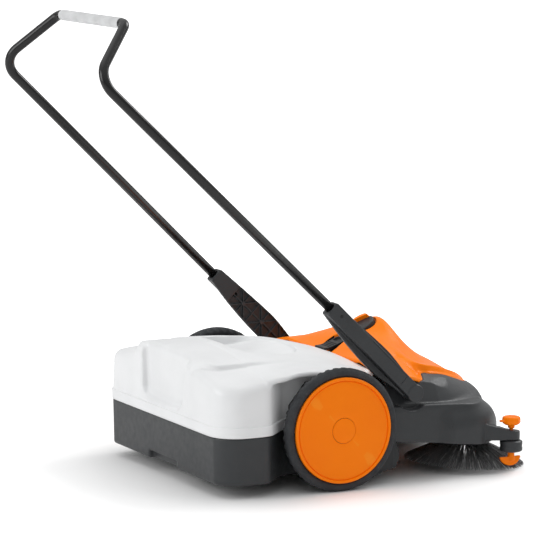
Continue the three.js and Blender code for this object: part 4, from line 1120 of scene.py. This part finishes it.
def height_dial():
    """Dark disc with a milled rim, and an orange grip bar on it."""

    def milled(radius, along, angle):
        rim = ease(radius, DIAL_RADIUS - 1.5, DIAL_RADIUS)
        rim = rim * ease(along, -9, -7) * (1 - ease(along, 2, 4))
        return radius - 0.8 * rim * (0.5 + 0.5 * np.cos(angle * 48)), along

    corners = [
        (0, -11, 0), (DIAL_RADIUS - 1, -11, 1), (DIAL_RADIUS, -9, 0.6), (DIAL_RADIUS, -3, 0),
        (DIAL_RADIUS, 3.2, 0.8), (DIAL_RADIUS - 2.4, 5, 1.6), (27, 5.4, 1), (26, 4.6, 0.6), (0, 5, 0),
    ]
    disc = turned("height_dial_disc", corners, (0, 0, 0), 192, axis="Z", wave=milled, closed=False)
    show(set_at(disc, DIAL, DIAL_TILT), "dark_plastic", "dial", "height_dial")
    outline = rounded(
        [(18, -28, 5), (31, -17, 8), (34, 0, 20), (31, 17, 8), (18, 28, 5), (21, 0, 40)], 6
    )

    def leaned(a, b, d):
        return a - (d - 5) * 0.12, b * (1 - (d - 5) * 0.01), d

    grip = plate("dial_grip_bar", outline, 4.8, 16, leaned, 1.6)
    show(set_at(grip, DIAL, DIAL_TILT, GRIP_TURN), "orange_plastic", "dial", "dial_grip")


RIB_SPACING = 7


def latch_lever():
    """Lever in the trough, over the lid's edge: finger ribs behind, a pocket before the pin."""
    low, high = design_box("latch_lever")
    upper = [(132, 311), (148, 312), (178, 321), (204, 330), (212, 330), (217, 324)]
    lower = [(132, 306), (147, 304), (160, 301), (178, 306), (200, 313), (212, 314), (217, 322)]

    def field(x, y, z):
        top = between(upper, x)
        body = overlap(overlap(z - top, between(lower, x) - z, 1), np.abs(y) - high.y + 0.2, 1.5)
        body = overlap(body, slab(x, low.x + 0.2, high.x - 0.2), 1)
        place = (x - 150) / RIB_SPACING
        rib = np.abs(place - np.round(place)) * RIB_SPACING - 1.4
        inner = np.maximum(np.abs(y) - high.y + 4, top - 2.2 - z)
        ribs = overlap(overlap(rib, slab(x, 146, 176)), inner)
        pocket = overlap(overlap(slab(x, 183, 201), np.abs(y) - high.y + 6, 3), top - 5 - z, 1)
        return without(without(body, ribs, 0.5), pocket, 1)

    spans = [(a - 2, b + 2) for a, b in zip(low, high)]
    piece = moulded("latch_lever_blade", field, *grid(1.1, *spans))
    show(piece, "black_plastic", "latch", "latch_lever")


height_dial()
latch_lever()

# ---- disc brushes

BRUSH = joint_place("brush_left_spin")
BRUSH_RADIUS = 160
BRUSH_TILT = math.radians(3.8)
PLATE_RADIUS = 62
ROOT_DEPTH = 78
RIM_DEPTH = 129


def on_spindle(points):
    """Places drawn about the spindle, apex at zero, leaned forward into the machine."""
    points = np.asarray(points, float)
    c, s = math.cos(BRUSH_TILT), math.sin(BRUSH_TILT)
    x = points[:, 0] * c + points[:, 2] * s + BRUSH.x
    z = -points[:, 0] * s + points[:, 2] * c + BRUSH.z
    return np.stack([x, points[:, 1] + BRUSH.y, z], 1)


def strands(roots, tips, rng, steps=4):
    """Thin three-sided bristles, curved between their roots and tips."""
    span = tips - roots
    ahead = span / np.linalg.norm(span, axis=1, keepdims=True)
    side = np.cross(ahead, (0.3, 0.2, 1.0))
    side /= np.linalg.norm(side, axis=1, keepdims=True)
    up = np.cross(side, ahead)
    bend = np.array([rng.uniform(0.6, 1.3) * BRISTLE_SAG for _ in roots])
    t = np.arange(steps + 1)[:, None] / steps
    spot = roots[:, None] + span[:, None] * t - (up * bend[:, None])[:, None] * (t * t - t)
    turn = 2 * math.pi * np.arange(3)[:, None] / 3
    ring = side[:, None] * np.cos(turn) + up[:, None] * np.sin(turn)
    size = BRISTLE_RADIUS * (1 - 0.45 * t)
    points = spot[:, :, None] + size[:, :, None] * ring[:, None]
    first = 3 * (steps + 1) * np.arange(len(roots))[:, None, None] + 3 * np.arange(steps)[:, None]
    a, b = first + np.arange(3), first + np.roll(np.arange(3), -1)
    return points.reshape(-1, 3), np.stack([a, b, b + 3, a + 3], -1).reshape(-1, 4)


TUFT_RINGS = [(46, 34, 136), (53, 40, 149), (59, 46, 158)]  # radius, number of tufts, reach
TUFT_BRISTLES = 15
BRISTLE_SAG, BRISTLE_RADIUS = 9, 0.75


def brush_bristles(side, seed):
    """Tufts set in rings in the plate, splayed out and down to the floor."""
    rng = random.Random(seed)
    roots, tips = [], []
    for ring, tufts, reach in TUFT_RINGS:
        for tuft in range(tufts):
            middle = 2 * math.pi * (tuft + rng.uniform(-0.15, 0.15)) / tufts
            for _ in range(TUFT_BRISTLES):
                angle = middle + rng.gauss(0, 0.012)
                end = middle + rng.gauss(0, 0.05)
                foot = ring + rng.uniform(-2.4, 2.4)
                far = min(reach + rng.gauss(0, 3.5), BRUSH_RADIUS - 0.4)
                deep = RIM_DEPTH - 0.3 - (BRUSH_RADIUS - far) * 0.06 - abs(rng.gauss(0, 1.6))
                roots.append((foot * math.cos(angle), foot * math.sin(angle), -ROOT_DEPTH + 1))
                tips.append((far * math.cos(end), far * math.sin(end), -deep))
    points, faces = strands(np.array(roots), np.array(tips), rng)
    return make_object(f"brush_bristles_{side}_tufts", on_spindle(points), faces)


def brush_plate(side):
    corners = [
        (8.3, -ROOT_DEPTH, 0), (PLATE_RADIUS - 1, -ROOT_DEPTH, 1), (PLATE_RADIUS, -ROOT_DEPTH + 2, 1),
        (PLATE_RADIUS, -ROOT_DEPTH + 6.5, 1.5), (PLATE_RADIUS - 3, -ROOT_DEPTH + 8, 2),
        (32, -ROOT_DEPTH + 13, 6), (19, -ROOT_DEPTH + 25, 3), (18, -52, 1), (8.3, -52, 0),
    ]

    def ribbed(radius, along, angle):
        rib = ease(np.cos(angle * 12), 0.86, 0.97) * (1 - ease(radius, 50, 58)) * ease(radius, 19, 24)
        return radius, along + 3 * rib * ease(along, -ROOT_DEPTH + 2, -ROOT_DEPTH + 6)

    disc = turned(f"brush_plate_{side}_disc", corners, (0, 0, 0), 144, axis="Z", wave=ribbed)
    return set_at(disc, BRUSH, BRUSH_TILT)


for side, seed in (("left", 3), ("right", 5)):
    show(brush_bristles(side, seed), "bristle", f"brush_{side}", f"brush_bristles_{side}", side)
    show(brush_plate(side), "black_plastic", f"brush_{side}", f"brush_plate_{side}", side)

# ---- edge roller and hold-down

EDGE_RADIUS = 30


def edge_roller():
    """Soft-edged guide roller with a shallow groove round it."""
    corners = [
        (5.4, 56, 0), (EDGE_RADIUS - 5, 56, 1), (EDGE_RADIUS, 59, 3), (EDGE_RADIUS, 67, 0.6),
        (EDGE_RADIUS - 0.8, 68, 0.6), (EDGE_RADIUS - 0.8, 74, 0.6), (EDGE_RADIUS, 75, 0.6),
        (EDGE_RADIUS, 83, 3), (EDGE_RADIUS - 5, 86, 1), (12, 86, 0.5), (11, 85, 0.5), (5.4, 85, 0),
    ]
    piece = turned("edge_roller_wheel", corners, (EDGE_SPINDLE.x, EDGE_SPINDLE.y, 0), axis="Z")
    show(piece, "dark_plastic", "edge_roller", "edge_roller")


def hold_down_knob():
    """Knob with finger flats, its small lever, and the spindle through the bracket."""

    def field(x, y, z):
        dx, dy = x - EDGE_SPINDLE.x, y - EDGE_SPINDLE.y
        around = np.hypot(dx, dy)
        angle = np.arctan2(dy, dx)
        rim = between([(124, 9), (128, 19), (133, 23.6), (144, 24), (149.5, 22)], z)
        knob = overlap(around - rim + 0.9 * (0.5 - 0.5 * np.cos(angle * 10)), slab(z, 125, 149), 3)
        dish = overlap(around - 13, 147.6 - z, 1)
        stem = overlap(around - 5, slab(z, 44, 130), 0.8)
        collar = overlap(around - 9, slab(z, 118, 127), 2)
        lever = overlap(np.abs(dy) - 5 - (dx + 34) * 0.04, slab(dx, -35, -10), 3)
        lever = overlap(lever, slab(z, 136, 141.5), 1.5)
        body = union(without(knob, dish, 1), union(stem, collar, 2), 1.5)
        return union(body, lever, 1.5)

    x, y = EDGE_SPINDLE.x, EDGE_SPINDLE.y
    spans = (x - 38, x + 27), (y - 27, y + 27), (42, 152)
    piece = moulded("hold_down_knob_body", field, *grid(1.3, *spans))
    show(piece, "orange_plastic", "hold_down", "hold_down_knob")


def hold_down_fin():
    """Half-moon blade with a rounded rim under the roller."""

    def field(x, y, z):
        dx, dy = x - EDGE_SPINDLE.x, y - EDGE_SPINDLE.y
        round_edge = np.hypot(np.where(dx < 0, dx * 0.8, dx), z - 46) - 28.6
        half = 2.6 + 1.2 * ease(-round_edge, 0, 3)
        blade = overlap(overlap(round_edge, z - 42, 2), np.abs(dy) - half, 1.2)
        blade = overlap(blade, 17 - z, 1)
        boss = overlap(np.hypot(dx, dy) - 9, slab(z, 31, 54), 1.5)
        return union(blade, boss, 2)

    x, y = EDGE_SPINDLE.x, EDGE_SPINDLE.y
    spans = (x - 39, x + 31), (y - 12, y + 12), (15, 57)
    piece = moulded("hold_down_fin_blade", field, *grid(1.2, *spans))
    show(piece, "orange_plastic", "hold_down", "hold_down_fin")


edge_roller()
hold_down_knob()
hold_down_fin()

# ---- stage


SKY_LOW, SKY_HIGH = 0.34, 0.95
BACKDROP = 1.05
FLOOR_SIZE = 60
FLOOR_GLOW = 0.6
GLOW_START, GLOW_FULL = 0.45, 1.3  # metres from the machine's middle
PLAIN_WHITE = (1, 1, 1, 1)


def floor():
    """A pale floor that glows towards white, to the camera only, beyond the contact shadow."""
    bpy.ops.mesh.primitive_plane_add(size=FLOOR_SIZE, location=(0, 0, 0))
    ground = bpy.context.object
    ground.name = "floor"
    material, tree, surface = shader("floor", (0.93, 0.93, 0.93), 0.6, Specular_IOR_Level=0.2)
    tone = blended(tree, noise(tree, 2, 2), (0.92, 0.92, 0.92), (0.94, 0.94, 0.94))
    tree.links.new(tone, surface.inputs["Base Color"])
    surface.inputs["Emission Color"].default_value = PLAIN_WHITE
    place = add_node(tree, "TexCoord").outputs["Object"]
    reach = add_node(tree, "VectorMath", place, operation="LENGTH").outputs["Value"]
    glow = add_node(
        tree, "MapRange", Value=reach, From_Min=GLOW_START, From_Max=GLOW_FULL, To_Max=FLOOR_GLOW
    )
    seen = add_node(tree, "LightPath").outputs["Is Camera Ray"]
    lit = add_node(tree, "Math", glow.outputs["Result"], seen, operation="MULTIPLY")
    tree.links.new(lit.outputs["Value"], surface.inputs["Emission Strength"])
    ground.data.materials.append(material)


def surround():
    """A sky that is brightest overhead, and plain white to the camera."""
    world = bpy.data.worlds.new("studio")
    world.use_nodes = True
    tree = world.node_tree
    sky = tree.nodes["Background"]
    sky.inputs["Color"].default_value = PLAIN_WHITE
    way = add_node(tree, "TexCoord").outputs["Generated"]
    up = add_node(tree, "SeparateXYZ", way).outputs["Z"]
    lift = add_node(
        tree, "MapRange", Value=up, From_Min=0.0, From_Max=0.9, To_Min=SKY_LOW, To_Max=SKY_HIGH
    )
    tree.links.new(lift.outputs["Result"], sky.inputs["Strength"])
    white = add_node(tree, "Background", Color=PLAIN_WHITE, Strength=BACKDROP)
    seen = add_node(tree, "LightPath").outputs["Is Camera Ray"]
    chosen = add_node(
        tree, "MixShader", seen, sky.outputs["Background"], white.outputs["Background"]
    )
    tree.links.new(chosen.outputs["Shader"], tree.nodes["World Output"].inputs["Surface"])
    bpy.context.scene.world = world


# Lamps: name, place, height aimed at, side in metres, watts.
SOFTBOXES = [
    ("front", (3.3, 0.4, 3.4), 0.2, 2.2, 80),
    ("above", (-1.2, 0.6, 4.2), 0.2, 3.0, 12),
    ("rear", (-4.5, 0.4, 2.0), 0.3, 2.5, 72),
]


def softbox(name, place, aim, size, power):
    lamp = bpy.data.lights.new(name, "AREA")
    lamp.shape = "RECTANGLE"
    lamp.size = lamp.size_y = size
    lamp.energy = power
    holder = bpy.data.objects.new(name, lamp)
    holder.location = place
    way = Vector((0, 0, aim)) - Vector(place)
    holder.rotation_euler = way.to_track_quat("-Z", "Y").to_euler()
    bpy.context.scene.collection.objects.link(holder)


CAMERA_PLACE = (-3.8312, -7.5359, 1.7334)
CAMERA_AZIMUTH, CAMERA_ELEVATION = math.radians(-26.86), math.radians(8.06)
SENSOR_MM, LENS_MM = 36, 218.1


def camera():
    """The view from behind and to the right, a little above the machine."""
    lens = bpy.data.cameras.new("camera")
    lens.sensor_width = SENSOR_MM
    lens.lens = LENS_MM
    lens.clip_end = 100
    view = bpy.data.objects.new("camera", lens)
    view.location = CAMERA_PLACE
    level = math.cos(CAMERA_ELEVATION)
    back = Vector((
        math.sin(CAMERA_AZIMUTH) * level, -math.cos(CAMERA_AZIMUTH) * level, math.sin(CAMERA_ELEVATION)
    ))
    view.rotation_euler = (-back).to_track_quat("-Z", "Y").to_euler()
    bpy.context.scene.collection.objects.link(view)
    bpy.context.scene.camera = view


bpy.context.scene.view_settings.view_transform = "Standard"
floor()
surround()
for lamp in SOFTBOXES:
    softbox(*lamp)
camera()

# ---- CAD nodes kept as they are

for entry in frame["record"]["subparts"]:
    kept = frame["nodes"][entry["node"]]
    if kept.hide_render:
        continue
    kept.data.materials.clear()
    kept.data.materials.append(FINISHES[entry["material_slot"]])
